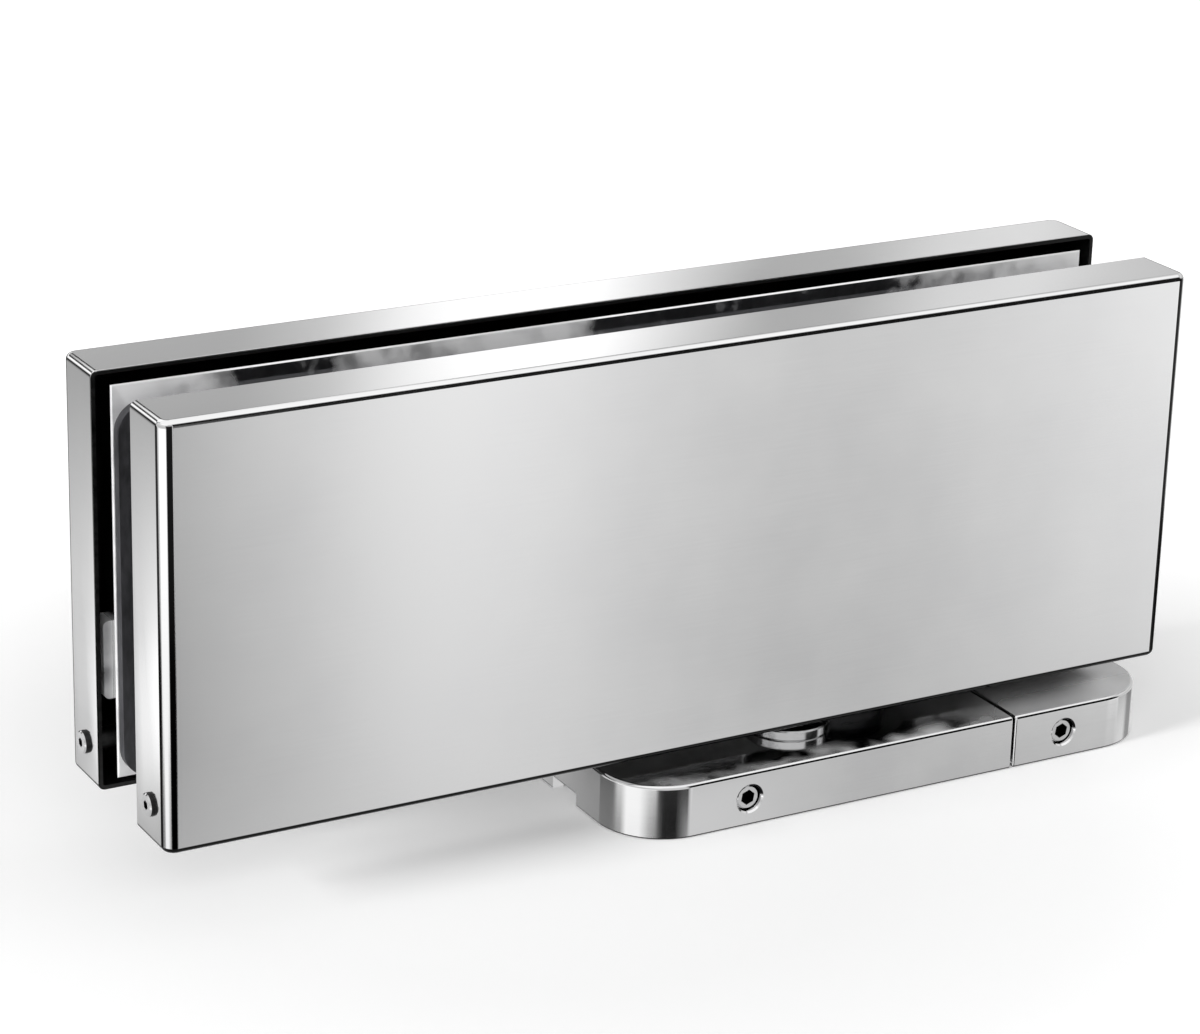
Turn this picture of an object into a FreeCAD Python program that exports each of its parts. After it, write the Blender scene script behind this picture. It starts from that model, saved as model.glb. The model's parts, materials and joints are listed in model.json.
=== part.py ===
"""Hydraulic patch hinge for a glass door, standing on its floor base.

Millimetres, +Z up. The origin lies on the spindle's axis at floor level. +X runs along the door
towards its heel, and +Y towards the rear cover. The closed door is drawn.
"""
import FreeCAD, Part
import Sketcher
import math
import os

SIZES = {
    # Polished covers
    "cover_length": 200.0,
    "cover_height": 74.2,
    "cover_span": 41.2,
    "cover_wall": 0.8,
    "cover_side_radius": 2.2,
    "cover_top_radius": 1.2,
    "heel_setback": 58.4,
    "floor_gap": 4.6,
    "spindle_cutout_radius": 13.0,
    # Glass and what grips it
    "glass_thickness": 12.0,
    "gasket_thickness": 2.0,
    "gasket_corner_radius": 5.0,
    "gasket_margin": 0.4,
    "gasket_top_margin": 3.1,
    "rim_gap": 0.2,
    "plate_thickness": 10.0,
    "plate_toe_margin": 3.4,
    "plate_heel_margin": 3.0,
    "plate_top_margin": 2.8,
    "plate_bottom_margin": 1.8,
    "plate_chamfer": 0.25,
    "lug_reach": 1.65,
    "lug_recess": 1.2,
    "lug_corner_radius": 1.0,
    "lug_bottom": 16.0,
    "lug_height": 14.0,
    "lug_depth": 4.0,
    "body_clearance": 0.6,
    # Hydraulic housing
    "core_clearance": 1.0,
    "core_end_gap": 0.6,
    "core_thickness": 38.0,
    "core_edge_radius": 1.5,
    "bore_radius": 15.0,
    "bore_floor": 0.3,
    "bore_roof": 8.2,
    "shoulder_width": 11.0,
    "shoulder_height": 10.0,
    # Spindle and its bearings
    "foot_radius": 11.0,
    "foot_height": 6.0,
    "collar_radius": 9.4,
    "journal_radius": 7.0,
    "shaft_radius": 5.2,
    "washer_thickness": 2.0,
    "running_clearance": 0.04,
    "seat_clearance": 0.02,
    "face_clearance": 0.05,
    "cap_radius": 14.0,
    "cap_height": 9.0,
    "seal_radius": 8.4,
    "seal_height": 2.9,
    "lower_bush_radius": 9.0,
    "upper_bush_radius": 8.0,
    "upper_bush_height": 6.7,
    # Heart cam, piston and rollers
    "cam_mean_radius": 14.0,
    "cam_lift": 4.0,
    "cam_thickness": 10.0,
    "cam_clearance": 0.15,
    "roller_radius": 4.5,
    "roller_pin_radius": 2.5,
    "roller_pin_length": 20.0,
    "side_play": 0.6,
    "yoke_end": 10.0,
    "spring_seat_depth": 2.5,
    "spring_seat_rim": 2.0,
    "ring_groove_width": 2.4,
    "ring_groove_depth": 1.6,
    "ring_groove_inset": 4.0,
    "check_hole_radius": 1.8,
    "check_hole_offset": 7.8,
    "check_ball_radius": 1.6,
    # Springs and end plugs
    "spring_wire_width": 3.2,
    "spring_wire_height": 2.4,
    "spring_mean_radius": 10.0,
    "spring_pitch": 4.2,
    "plug_thickness": 8.0,
    "plug_key_radius": 6.5,
    "plug_key_depth": 4.0,
    "oring_radius": 1.2,
    "oring_squeeze": 0.1,
    # Speed valves
    "valve_radius": 2.4,
    "valve_length": 18.0,
    "valve_tip_length": 4.0,
    "valve_tip_radius": 0.8,
    "valve_hole_spare": 2.0,
    "valve_key_radius": 1.3,
    "valve_key_depth": 2.5,
    # Fasteners
    "clamp_screw_radius": 3.0,
    "clamp_head_radius": 5.0,
    "clamp_head_height": 6.0,
    "clamp_key_radius": 2.9,
    "clamp_key_depth": 3.5,
    "clamp_screw_spare": 1.6,
    "clamp_low_height": 9.0,
    "clamp_heel_inset": 8.0,
    "cover_screw_radius": 2.0,
    "cover_screw_length": 10.0,
    "cover_screw_height": 6.8,
    "cover_screw_offset": 14.1,
    "cover_screw_stand": 0.8,
    "cover_key_radius": 0.85,
    "cover_key_depth": 2.0,
    "screw_clearance": 0.05,
    "screw_bevel": 0.3,
    # Floor base
    "base_length": 112.8,
    "base_width": 49.0,
    "base_height": 10.1,
    "base_wall": 2.2,
    "base_corner_radius": 12.0,
    "base_top_radius": 0.65,
    "base_split": 23.6,
    "split_gap": 0.5,
    "notch_width": 8.6,
    "notch_height": 2.65,
    "floor_plate_height": 8.0,
    "floor_plate_gap": 0.4,
    "floor_hole_radius": 3.3,
    "floor_hole_pitch_x": 88.0,
    "floor_hole_pitch_y": 26.0,
    "floor_head_radius": 6.2,
    "floor_head_depth": 4.0,
    "side_screw_long": 32.8,
    "side_screw_short": 34.8,
    "side_screw_radius": 2.45,
    "side_screw_length": 9.0,
    "side_screw_recess": 0.7,
    "side_key_radius": 1.45,
    "side_key_depth": 2.2,
    "top_screw_x": 15.9,
    "top_screw_y": 9.1,
    "top_screw_radius": 3.0,
    "top_screw_length": 8.0,
    "top_head_radius": 7.8,
    "top_head_height": 1.85,
    "top_dish_radius": 7.0,
    "top_dish_depth": 0.8,
    "top_key_radius": 2.9,
    "top_key_depth": 3.0,
    # How far a cut runs past the face it opens
    "over_cut": 1.0,
}

doc = FreeCAD.newDocument("hydraulic_hinge")
sheet = doc.addObject("Spreadsheet::Sheet", "Dim")
for row, (alias, millimetres) in enumerate(SIZES.items(), start=1):
    sheet.set("A%d" % row, alias)
    sheet.set("B%d" % row, str(millimetres))
    sheet.setAlias("B%d" % row, alias)
doc.recompute()

# Planes and faces that several pieces share, as expressions on the sheet
HEEL = "Dim.heel_setback"
TOE = "(Dim.heel_setback - Dim.cover_length)"
COVER_BOTTOM = "(Dim.base_height + Dim.floor_gap)"
COVER_FACE = "(Dim.cover_span / 2)"
PLATE_FACE = "(Dim.glass_thickness / 2 + Dim.gasket_thickness)"
PLATE_BACK = "(%s + Dim.plate_thickness)" % PLATE_FACE
RIM = "(%s + Dim.rim_gap)" % PLATE_FACE
PLATE_TOE = "(%s + Dim.plate_toe_margin)" % TOE
PLATE_HEEL = "(%s - Dim.plate_heel_margin)" % HEEL
PLATE_LOW = "(%s + Dim.plate_bottom_margin)" % COVER_BOTTOM
PLATE_TOP = "(%s + Dim.cover_height - Dim.plate_top_margin)" % COVER_BOTTOM
CORE_END = "(%s - Dim.cover_wall - Dim.core_end_gap)" % HEEL
CORE_BOTTOM = "(%s + Dim.core_clearance)" % COVER_BOTTOM
AXIS = "(%s + Dim.cap_height + Dim.bore_floor + Dim.bore_radius)" % CORE_BOTTOM
CORE_TOP = "(%s + Dim.bore_radius + Dim.bore_roof)" % AXIS
SHOULDER_TOP = "(%s + Dim.shoulder_height)" % CORE_TOP
SHOULDER_TOE = "(-%s - Dim.shoulder_width)" % CORE_END
COLLAR_TOP = "(%s - Dim.face_clearance - Dim.washer_thickness)" % CORE_BOTTOM
FOOT_BOTTOM = "(Dim.floor_plate_height - Dim.foot_height)"
BASE_END = "(Dim.base_length / 2)"
BASE_SIDE = "(Dim.base_width / 2)"
FLOOR_PLATE_END = "(%s - Dim.base_wall - Dim.floor_plate_gap)" % BASE_END
FLOOR_PLATE_SIDE = "(%s - Dim.base_wall - Dim.floor_plate_gap)" % BASE_SIDE
BASE_MIDDLE = "(Dim.base_height / 2)"
COVER_SCREW_Z = "(%s + Dim.cover_screw_height)" % COVER_BOTTOM
WINDOW_END = "(Dim.cam_mean_radius + Dim.roller_radius + Dim.side_play)"
WINDOW_SIDE = "(Dim.cam_thickness / 2 + Dim.side_play)"
PISTON_END = "(%s + Dim.yoke_end)" % WINDOW_END
PISTON_RADIUS = "(Dim.bore_radius - Dim.running_clearance)"
SPRING_SEAT = "(%s - Dim.spring_seat_depth)" % PISTON_END
PLUG_FACE = "(%s - Dim.plug_thickness)" % CORE_END
SLOT_SIDE = "(Dim.shaft_radius + Dim.side_play)"
SLOT_END = "(Dim.cam_lift + Dim.side_play)"
VALVE_HIGH = "(%s + Dim.bore_radius + Dim.bore_roof / 2)" % AXIS
VALVE_LOW = "(%s + Dim.cap_height / 2)" % CORE_BOTTOM
CLAMP_HEAD_SEAT = "(%s - Dim.clamp_head_height - Dim.screw_clearance)" % PLATE_BACK
CLAMP_TOE_X = "(-%s - Dim.shoulder_width / 2)" % CORE_END
CLAMP_TOP_Z = "(%s + Dim.shoulder_height / 2)" % CORE_TOP
CLAMP_PLACES = [
    (CLAMP_TOE_X, "(%s + Dim.clamp_low_height)" % CORE_BOTTOM),
    (CLAMP_TOE_X, CLAMP_TOP_Z),
    ("0", CLAMP_TOP_Z),
    ("(%s - Dim.clamp_heel_inset)" % CORE_END, CLAMP_TOP_Z),
]
ACROSS_BORE = "(4 * Dim.bore_radius)"
NEAR = 0.001
X_UP = FreeCAD.Vector(1, 0, 0)
X_DOWN = FreeCAD.Vector(-1, 0, 0)
Y_UP = FreeCAD.Vector(0, 1, 0)
Y_DOWN = FreeCAD.Vector(0, -1, 0)
Z_UP = FreeCAD.Vector(0, 0, 1)

nodes = []


def dim(alias):
    """A driving dimension as a number."""
    return float(sheet.get(alias))


def new_body(name):
    """An empty body with its own label."""
    body = doc.addObject("PartDesign::Body", name)
    body.Label = name
    return body


def blank_sketch(body, plane, offset):
    """A sketch on one of the body's own planes, moved along the plane's normal."""
    sketch = body.newObject("Sketcher::SketchObject", body.Name + "_sketch")
    support = [item for item in body.Origin.OriginFeatures if item.Role == plane + "_Plane"]
    sketch.AttachmentSupport = [(support[0], "")]
    sketch.MapMode = "FlatFace"
    sketch.setExpression("AttachmentOffset.Base.z", offset)
    return sketch


def bind_point(sketch, geometry, place, x, y):
    """Fixes one point of a sketch by two expressions."""
    for kind, text in (("DistanceX", x), ("DistanceY", y)):
        index = sketch.addConstraint(Sketcher.Constraint(kind, -1, 1, geometry, place, 1.0))
        sketch.setExpression("Constraints[%d]" % index, text)


def outline(body, plane, offset, corners):
    """A closed straight-sided outline through the given corners."""
    sketch = blank_sketch(body, plane, offset)
    count = len(corners)
    turn = 2 * math.pi / count
    ring = [FreeCAD.Vector(math.cos(turn * i), math.sin(turn * i), 0) for i in range(count)]
    for i in range(count):
        sketch.addGeometry(Part.LineSegment(ring[i], ring[(i + 1) % count]), False)
    for i in range(count):
        sketch.addConstraint(Sketcher.Constraint("Coincident", i, 2, (i + 1) % count, 1))
    for i, (x, y) in enumerate(corners):
        bind_point(sketch, i, 1, x, y)
    return sketch


def rectangle(body, plane, offset, low_x, high_x, low_y, high_y):
    """An upright rectangle."""
    corners = [(low_x, low_y), (high_x, low_y), (high_x, high_y), (low_x, high_y)]
    return outline(body, plane, offset, corners)


def hexagon(body, plane, offset, radius):
    """A hexagon about the sketch's own origin."""
    corners = []
    for i in range(6):
        corners.append(("%s * cos(%ddeg)" % (radius, 60 * i), "%s * sin(%ddeg)" % (radius, 60 * i)))
    return outline(body, plane, offset, corners)


def circles(body, plane, offset, places, radius):
    """Equal circles at the given places."""
    sketch = blank_sketch(body, plane, offset)
    for i, (x, y) in enumerate(places):
        sketch.addGeometry(Part.Circle(FreeCAD.Vector(i, 0, 0), Z_UP, 1.0), False)
        index = sketch.addConstraint(Sketcher.Constraint("Radius", i, 1.0))
        sketch.setExpression("Constraints[%d]" % index, radius)
        bind_point(sketch, i, 3, x, y)
    return sketch


def extrude(body, kind, sketch, length, back=False, both=False):
    """A pad or a pocket. A pad runs along its sketch's normal and a pocket against it."""
    feature = body.newObject("PartDesign::" + kind, body.Name + "_" + kind.lower())
    feature.Profile = sketch
    feature.setExpression("Length", length)
    feature.Reversed = back
    if both:
        feature.SideType = "Symmetric"
    doc.recompute()
    return feature


def pad(body, sketch, length, both=False):
    """Adds a pad along the sketch's normal."""
    return extrude(body, "Pad", sketch, length, both=both)


def pocket(body, sketch, length, back=False, both=False):
    """Cuts a pocket and makes sure that it removed material."""
    before = body.Shape.Volume
    feature = extrude(body, "Pocket", sketch, length, back=back, both=both)
    if body.Shape.Volume > before - NEAR:
        raise ValueError("A pocket in %s cut nothing" % body.Name)
    return feature


def edges_where(shape, test):
    """Names of the edges whose points all pass the test."""
    names = []
    for i, edge in enumerate(shape.Edges, start=1):
        if all(test(point) for point in edge.discretize(5)):
            names.append("Edge%d" % i)
    return names


def soften(body, kind, names, text):
    """A fillet or chamfer along the named edges of the body's last feature."""
    base = body.Tip
    feature = body.newObject("PartDesign::" + kind, body.Name + "_" + kind.lower())
    feature.Base = (base, names)
    feature.setExpression("Radius" if kind == "Fillet" else "Size", text)
    doc.recompute()
    return feature


def turned(name, profile, along="Z"):
    """A body turned about Z from (radius, height) corners, or about X from (length, radius)."""
    body = new_body(name)
    sketch = outline(body, "XZ", "0", profile)
    feature = body.newObject("PartDesign::Revolution", name + "_turned")
    feature.Profile = sketch
    feature.ReferenceAxis = (sketch, ["V_Axis" if along == "Z" else "H_Axis"])
    feature.Angle = 360
    doc.recompute()
    return body


def ring(name, inner, outer, low, high):
    """A plain ring about Z."""
    return turned(name, [(inner, low), (outer, low), (outer, high), (inner, high)])


def place(item, x="0", y="0", z="0"):
    """Puts a piece in its place by expressions."""
    item.setExpression("Placement.Base.x", x)
    item.setExpression("Placement.Base.y", y)
    item.setExpression("Placement.Base.z", z)
    doc.recompute()


def number(text):
    """The value of an expression on the sheet, read through a helper point."""
    probe = doc.getObject("Probe") or doc.addObject("Part::Vertex", "Probe")
    probe.setExpression("X", text)
    doc.recompute()
    return float(probe.X)


def solid(name, shape, placement=None):
    """A piece whose shape is worked out in code."""
    item = doc.addObject("Part::Feature", name)
    item.Label = name
    item.Shape = shape
    if placement:
        item.Placement = placement
    return item


def group(name, master, spots):
    """One node of equal pieces: copies of the master at (x, y, z, outward direction)."""
    copies = []
    for x, y, z, direction in spots:
        turn = FreeCAD.Rotation(Z_UP, direction)
        copy = master.Shape.copy()
        copy.Placement = FreeCAD.Placement(FreeCAD.Vector(x, y, z), turn)
        copies.append(copy)
    return solid(name, Part.makeCompound(copies))


def keep(item):
    """Marks an object as one of the part's nodes."""
    nodes.append(item)
    return item


def opposite(text):
    """The same expression with the other sign."""
    return "-(%s)" % text


def signed(sign, text):
    """The expression on the front side (-1) or the rear side (1)."""
    return text if sign > 0 else opposite(text)


def on_xz(sign, near, far):
    """Offset along the XZ plane's normal, which is -Y, so that a pad runs between two depths."""
    return near if sign < 0 else opposite(far)


# Floor base


def make_base_plate():
    """Floor plate with the spindle's socket, floor holes and threads for the shells' screws."""
    body = new_body("base_plate")
    sketch = rectangle(body, "XY", "0", opposite(FLOOR_PLATE_END), FLOOR_PLATE_END,
                       opposite(FLOOR_PLATE_SIDE), FLOOR_PLATE_SIDE)
    pad(body, sketch, "Dim.floor_plate_height")
    end, side = number(FLOOR_PLATE_END), number(FLOOR_PLATE_SIDE)
    upright = edges_where(body.Shape, lambda p: abs(abs(p.x) - end) < NEAR
                          and abs(abs(p.y) - side) < NEAR)
    soften(body, "Fillet", upright, "Dim.base_corner_radius - Dim.base_wall - Dim.floor_plate_gap")
    top = "Dim.floor_plate_height"
    pocket(body, circles(body, "XY", top, [("0", "0")], "Dim.foot_radius + Dim.seat_clearance"),
           "Dim.foot_height")
    x, y = "Dim.floor_hole_pitch_x / 2", "Dim.floor_hole_pitch_y / 2"
    places = [(signed(a, x), signed(b, y)) for a in (-1, 1) for b in (-1, 1)]
    pocket(body, circles(body, "XY", top, places, "Dim.floor_hole_radius"), top)
    pocket(body, circles(body, "XY", top, places, "Dim.floor_head_radius"), "Dim.floor_head_depth")
    threads = [("-Dim.top_screw_x", "-Dim.top_screw_y"), ("Dim.top_screw_x", "Dim.top_screw_y")]
    pocket(body, circles(body, "XY", top, threads, "Dim.top_screw_radius + Dim.screw_clearance"),
           "Dim.top_screw_length - (Dim.base_height - Dim.floor_plate_height)")
    places = [("-Dim.side_screw_long", BASE_MIDDLE), ("Dim.side_screw_short", BASE_MIDDLE)]
    for sign in (-1, 1):
        sketch = circles(body, "XZ", signed(-sign, BASE_SIDE), places,
                         "Dim.side_screw_radius + Dim.screw_clearance")
        pocket(body, sketch, "Dim.side_screw_recess + Dim.side_screw_length", back=sign > 0)
    return keep(body)


def make_base_cover(name, low, high, round_end):
    """Polished shell over one end of the floor plate, open below and at the split."""
    body = new_body(name)
    sketch = rectangle(body, "XY", "0", low, high, opposite(BASE_SIDE), BASE_SIDE)
    pad(body, sketch, "Dim.base_height")
    end = round_end * number(BASE_END)
    side = number(BASE_SIDE)
    inner_side = "(%s - Dim.base_wall)" % BASE_SIDE
    if round_end > 0:
        inner = (low + " - Dim.over_cut", high + " - Dim.base_wall")
    else:
        inner = (low + " + Dim.base_wall", high + " + Dim.over_cut")
    sketch = rectangle(body, "XY", "0", inner[0], inner[1], opposite(inner_side), inner_side)
    pocket(body, sketch, "Dim.floor_plate_height", back=True)
    wall = dim("base_wall")
    corners = edges_where(body.Shape, lambda p: abs(p.x - end + round_end * wall) < NEAR
                          and abs(abs(p.y) - side + wall) < NEAR)
    soften(body, "Fillet", corners, "Dim.base_corner_radius - Dim.base_wall")
    corners = edges_where(body.Shape, lambda p: abs(p.x - end) < NEAR and abs(abs(p.y) - side) < NEAR)
    soften(body, "Fillet", corners, "Dim.base_corner_radius")
    split = number(low) if round_end > 0 else number(high)
    top = dim("base_height")
    rim = edges_where(body.Shape, lambda p: abs(p.z - top) < NEAR)
    rim = [n for n in rim if abs(body.Shape.getElement(n).CenterOfMass.x - split) > NEAR]
    soften(body, "Fillet", rim, "Dim.base_top_radius")
    x = "Dim.side_screw_short" if round_end > 0 else "-Dim.side_screw_long"
    sketch = circles(body, "XZ", "0", [(x, BASE_MIDDLE)], "Dim.side_screw_radius + Dim.screw_clearance")
    pocket(body, sketch, "Dim.base_width + 2 * Dim.over_cut", both=True)
    half_notch = "Dim.notch_width / 2"
    outside = "%s + Dim.over_cut" % BASE_END
    sketch = rectangle(body, "YZ", signed(round_end, outside), opposite(half_notch), half_notch,
                       "-Dim.over_cut", "Dim.notch_height")
    pocket(body, sketch, "Dim.base_wall + 2 * Dim.over_cut", back=round_end < 0)
    return keep(body)


def make_long_cover():
    """The long shell also lets the spindle and the two top screws through."""
    body = make_base_cover("base_cover_long", opposite(BASE_END),
                           "(Dim.base_split - Dim.split_gap / 2)", -1)
    top = "Dim.base_height"
    sketch = circles(body, "XY", top, [("0", "0")], "Dim.foot_radius + Dim.floor_plate_gap")
    pocket(body, sketch, top)
    places = [("-Dim.top_screw_x", "-Dim.top_screw_y"), ("Dim.top_screw_x", "Dim.top_screw_y")]
    sketch = circles(body, "XY", top, places, "Dim.top_screw_radius + Dim.screw_clearance")
    pocket(body, sketch, top)
    return body


def make_socket_screw(name, radius, length, key_radius, key_depth):
    """A headless hex socket screw: its face is at z = 0 and it points down."""
    bevel = "Dim.screw_bevel"
    body = turned(name, [
        ("0", "-(%s)" % length),
        ("%s - 2 * %s" % (radius, bevel), "-(%s)" % length),
        (radius, "-(%s) + 2 * %s" % (length, bevel)),
        (radius, "-(%s)" % bevel),
        ("%s - %s" % (radius, bevel), "0"),
        ("0", "0"),
    ])
    pocket(body, hexagon(body, "XY", "0", key_radius), key_depth)
    return body


def make_base_side_screws():
    """Two screws through each long side of the base."""
    screw = make_socket_screw("side_screw", "Dim.side_screw_radius", "Dim.side_screw_length",
                              "Dim.side_key_radius", "Dim.side_key_depth")
    depth = number(BASE_SIDE) - dim("side_screw_recess")
    height = number(BASE_MIDDLE)
    spots = []
    for x in (-dim("side_screw_long"), dim("side_screw_short")):
        spots.append((x, -depth, height, Y_DOWN))
        spots.append((x, depth, height, Y_UP))
    return keep(group("base_side_screws", screw, spots))


def make_base_top_screws():
    """Two low head screws that hold the long shell down, on either side of the spindle."""
    screw = turned("top_screw", [
        ("0", "-Dim.top_screw_length"),
        ("Dim.top_screw_radius", "-Dim.top_screw_length"),
        ("Dim.top_screw_radius", "0"),
        ("Dim.top_head_radius", "0"),
        ("Dim.top_head_radius", "Dim.top_head_height"),
        ("Dim.top_dish_radius", "Dim.top_head_height"),
        ("Dim.top_dish_radius - Dim.top_dish_depth", "Dim.top_head_height - Dim.top_dish_depth"),
        ("0", "Dim.top_head_height - Dim.top_dish_depth"),
    ])
    sketch = hexagon(screw, "XY", "Dim.top_head_height", "Dim.top_key_radius")
    pocket(screw, sketch, "Dim.top_dish_depth + Dim.top_key_depth")
    x, y, z = dim("top_screw_x"), dim("top_screw_y"), dim("base_height")
    return keep(group("base_top_screws", screw, [(-x, -y, z, Z_UP), (x, y, z, Z_UP)]))


# Spindle, heart cam and bearings


def heart_cam_shape():
    """Heart cam: lift grows evenly with the turn, so opposite rollers stay equally far apart."""
    mean = dim("cam_mean_radius")
    lift = dim("cam_lift")
    reach = dim("roller_radius") + dim("cam_clearance")
    slope = lift / (math.pi / 2)

    def flank(turn):
        radius = mean + slope * turn
        across = math.hypot(slope, radius)
        out_x = (slope * math.sin(turn) + radius * math.cos(turn)) / across
        out_y = (radius * math.sin(turn) - slope * math.cos(turn)) / across
        return FreeCAD.Vector(radius * math.cos(turn) - reach * out_x,
                              radius * math.sin(turn) - reach * out_y, 0)

    low, high = math.radians(45), math.radians(90)
    halvings = 50
    for _ in range(halvings):
        middle = (low + high) / 2
        if flank(middle).x > 0:
            low = middle
        else:
            high = middle
    start = -math.pi / 2
    steps = 24
    right = [flank(start + (low - start) * i / steps) for i in range(steps + 1)]
    right[-1].x = 0
    left = [FreeCAD.Vector(-p.x, p.y, 0) for p in right]
    edges = []
    for points in (right, left[::-1]):
        curve = Part.BSplineCurve()
        curve.interpolate(points)
        edges.append(curve.toShape())
    hollow = FreeCAD.Vector(0, reach - (mean - lift), 0)
    edges.append(Part.Arc(left[0], hollow, right[0]).toShape())
    face = Part.Face(Part.Wire(edges))
    return face.extrude(FreeCAD.Vector(0, 0, dim("cam_thickness")))


def make_cam_spindle():
    """Foot, collar, journals and heart cam in one piece."""
    top = "(%s + Dim.bore_radius + Dim.upper_bush_height)" % AXIS
    cap_top = "(%s + Dim.cap_height)" % CORE_BOTTOM
    shaft = turned("spindle_shaft", [
        ("0", FOOT_BOTTOM),
        ("Dim.foot_radius", FOOT_BOTTOM),
        ("Dim.foot_radius", "Dim.floor_plate_height"),
        ("Dim.collar_radius", "Dim.floor_plate_height"),
        ("Dim.collar_radius", COLLAR_TOP),
        ("Dim.journal_radius", COLLAR_TOP),
        ("Dim.journal_radius", cap_top),
        ("Dim.shaft_radius", cap_top),
        ("Dim.shaft_radius", top),
        ("0", top),
    ])
    cam = solid("heart_cam", heart_cam_shape())
    place(cam, z="%s - Dim.cam_thickness / 2" % AXIS)
    spindle = doc.addObject("Part::Fuse", "cam_spindle")
    spindle.Base = shaft
    spindle.Tool = cam
    doc.recompute()
    return keep(spindle)


def make_bearings():
    """Thrust washer on the collar, cap with seal and bush below, and the bush above."""
    bore = "Dim.journal_radius + Dim.running_clearance"
    seat = "Dim.seat_clearance"
    keep(ring("thrust_washer", bore, "Dim.collar_radius", COLLAR_TOP,
              "%s + Dim.washer_thickness" % COLLAR_TOP))
    seal_top = "(%s + Dim.seal_height)" % CORE_BOTTOM
    cap_top = "(%s + Dim.cap_height)" % CORE_BOTTOM
    keep(turned("bearing_cap", [
        ("Dim.seal_radius + %s" % seat, CORE_BOTTOM),
        ("Dim.cap_radius - %s" % seat, CORE_BOTTOM),
        ("Dim.cap_radius - %s" % seat, cap_top),
        ("Dim.lower_bush_radius + %s" % seat, cap_top),
        ("Dim.lower_bush_radius + %s" % seat, seal_top),
        ("Dim.seal_radius + %s" % seat, seal_top),
    ]))
    keep(ring("shaft_seal", bore, "Dim.seal_radius", CORE_BOTTOM, seal_top))
    keep(ring("lower_bush", bore, "Dim.lower_bush_radius", seal_top, cap_top))
    low = "(%s + Dim.bore_radius)" % AXIS
    keep(ring("upper_bush", "Dim.shaft_radius + Dim.running_clearance", "Dim.upper_bush_radius",
              low, "%s + Dim.upper_bush_height" % low))


# Hydraulic housing and what closes it


def make_housing():
    """Cylinder body, with a thinner shoulder that fills the corner cut out of the glass."""
    body = new_body("housing")
    half = CORE_END
    side = "(Dim.core_thickness / 2)"
    sketch = rectangle(body, "XY", CORE_BOTTOM, opposite(half), half, opposite(side), side)
    pad(body, sketch, "%s - %s" % (CORE_TOP, CORE_BOTTOM))
    low, high, flank = number(CORE_BOTTOM), number(CORE_TOP), number(side)
    long_edges = edges_where(body.Shape, lambda p: abs(abs(p.y) - flank) < NEAR
                             and min(abs(p.z - low), abs(p.z - high)) < NEAR)
    soften(body, "Fillet", long_edges, "Dim.core_edge_radius")
    sketch = rectangle(body, "XZ", "0", SHOULDER_TOE, half, CORE_BOTTOM, SHOULDER_TOP)
    pad(body, sketch, "2 * %s" % PLATE_FACE, both=True)
    pocket(body, circles(body, "YZ", "0", [("0", AXIS)], "Dim.bore_radius"),
           "4 * %s" % CORE_END, both=True)
    pocket(body, circles(body, "XY", CORE_BOTTOM, [("0", "0")], "Dim.cap_radius"),
           "%s - %s" % (AXIS, CORE_BOTTOM), back=True)
    pocket(body, circles(body, "XY", AXIS, [("0", "0")],
                         "Dim.upper_bush_radius + Dim.seat_clearance"),
           "Dim.bore_radius + Dim.upper_bush_height", back=True)
    valves = [("0", VALVE_HIGH), ("0", VALVE_LOW)]
    pocket(body, circles(body, "YZ", half, valves, "Dim.valve_radius"),
           "Dim.valve_length + Dim.valve_hole_spare")
    pocket(body, circles(body, "XZ", "0", CLAMP_PLACES, "Dim.clamp_screw_radius + Dim.screw_clearance"),
           "2 * %s + 2 * Dim.over_cut" % PLATE_FACE, both=True)
    ends = [(signed(sign, "Dim.cover_screw_offset"), COVER_SCREW_Z) for sign in (-1, 1)]
    pocket(body, circles(body, "YZ", half, ends, "Dim.cover_screw_radius + Dim.screw_clearance"),
           "Dim.cover_screw_length")
    return keep(body)


def make_end_plugs():
    """Screwed plugs with a hex key socket, and their sealing rings."""
    groove_depth = "(2 * Dim.oring_radius)"
    groove_low = "(Dim.plug_thickness / 2 - Dim.oring_radius - Dim.oring_squeeze)"
    groove_high = "(Dim.plug_thickness / 2 + Dim.oring_radius + Dim.oring_squeeze)"
    rim = "(Dim.bore_radius - Dim.seat_clearance)"
    rings = []
    for name, sign in (("end_plug_left", -1), ("end_plug_right", 1)):
        plug = turned(name, [
            ("0", "0"), (rim, "0"), (rim, groove_low),
            ("%s - %s" % (rim, groove_depth), groove_low),
            ("%s - %s" % (rim, groove_depth), groove_high),
            (rim, groove_high), (rim, "Dim.plug_thickness"), ("0", "Dim.plug_thickness"),
        ])
        sketch = hexagon(plug, "XY", "Dim.plug_thickness", "Dim.plug_key_radius")
        pocket(plug, sketch, "Dim.plug_key_depth")
        plug.Placement.Rotation = FreeCAD.Rotation(Z_UP, X_UP if sign > 0 else X_DOWN)
        place(plug, x=signed(sign, PLUG_FACE), z=AXIS)
        keep(plug)
        centre = FreeCAD.Vector(sign * (number(PLUG_FACE) + dim("plug_thickness") / 2), 0, number(AXIS))
        rings.append(Part.makeTorus(number(rim) - dim("oring_radius"),
                                    dim("oring_radius") - dim("oring_squeeze") / 2, centre, X_UP))
    keep(solid("plug_orings", Part.makeCompound(rings)))


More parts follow.
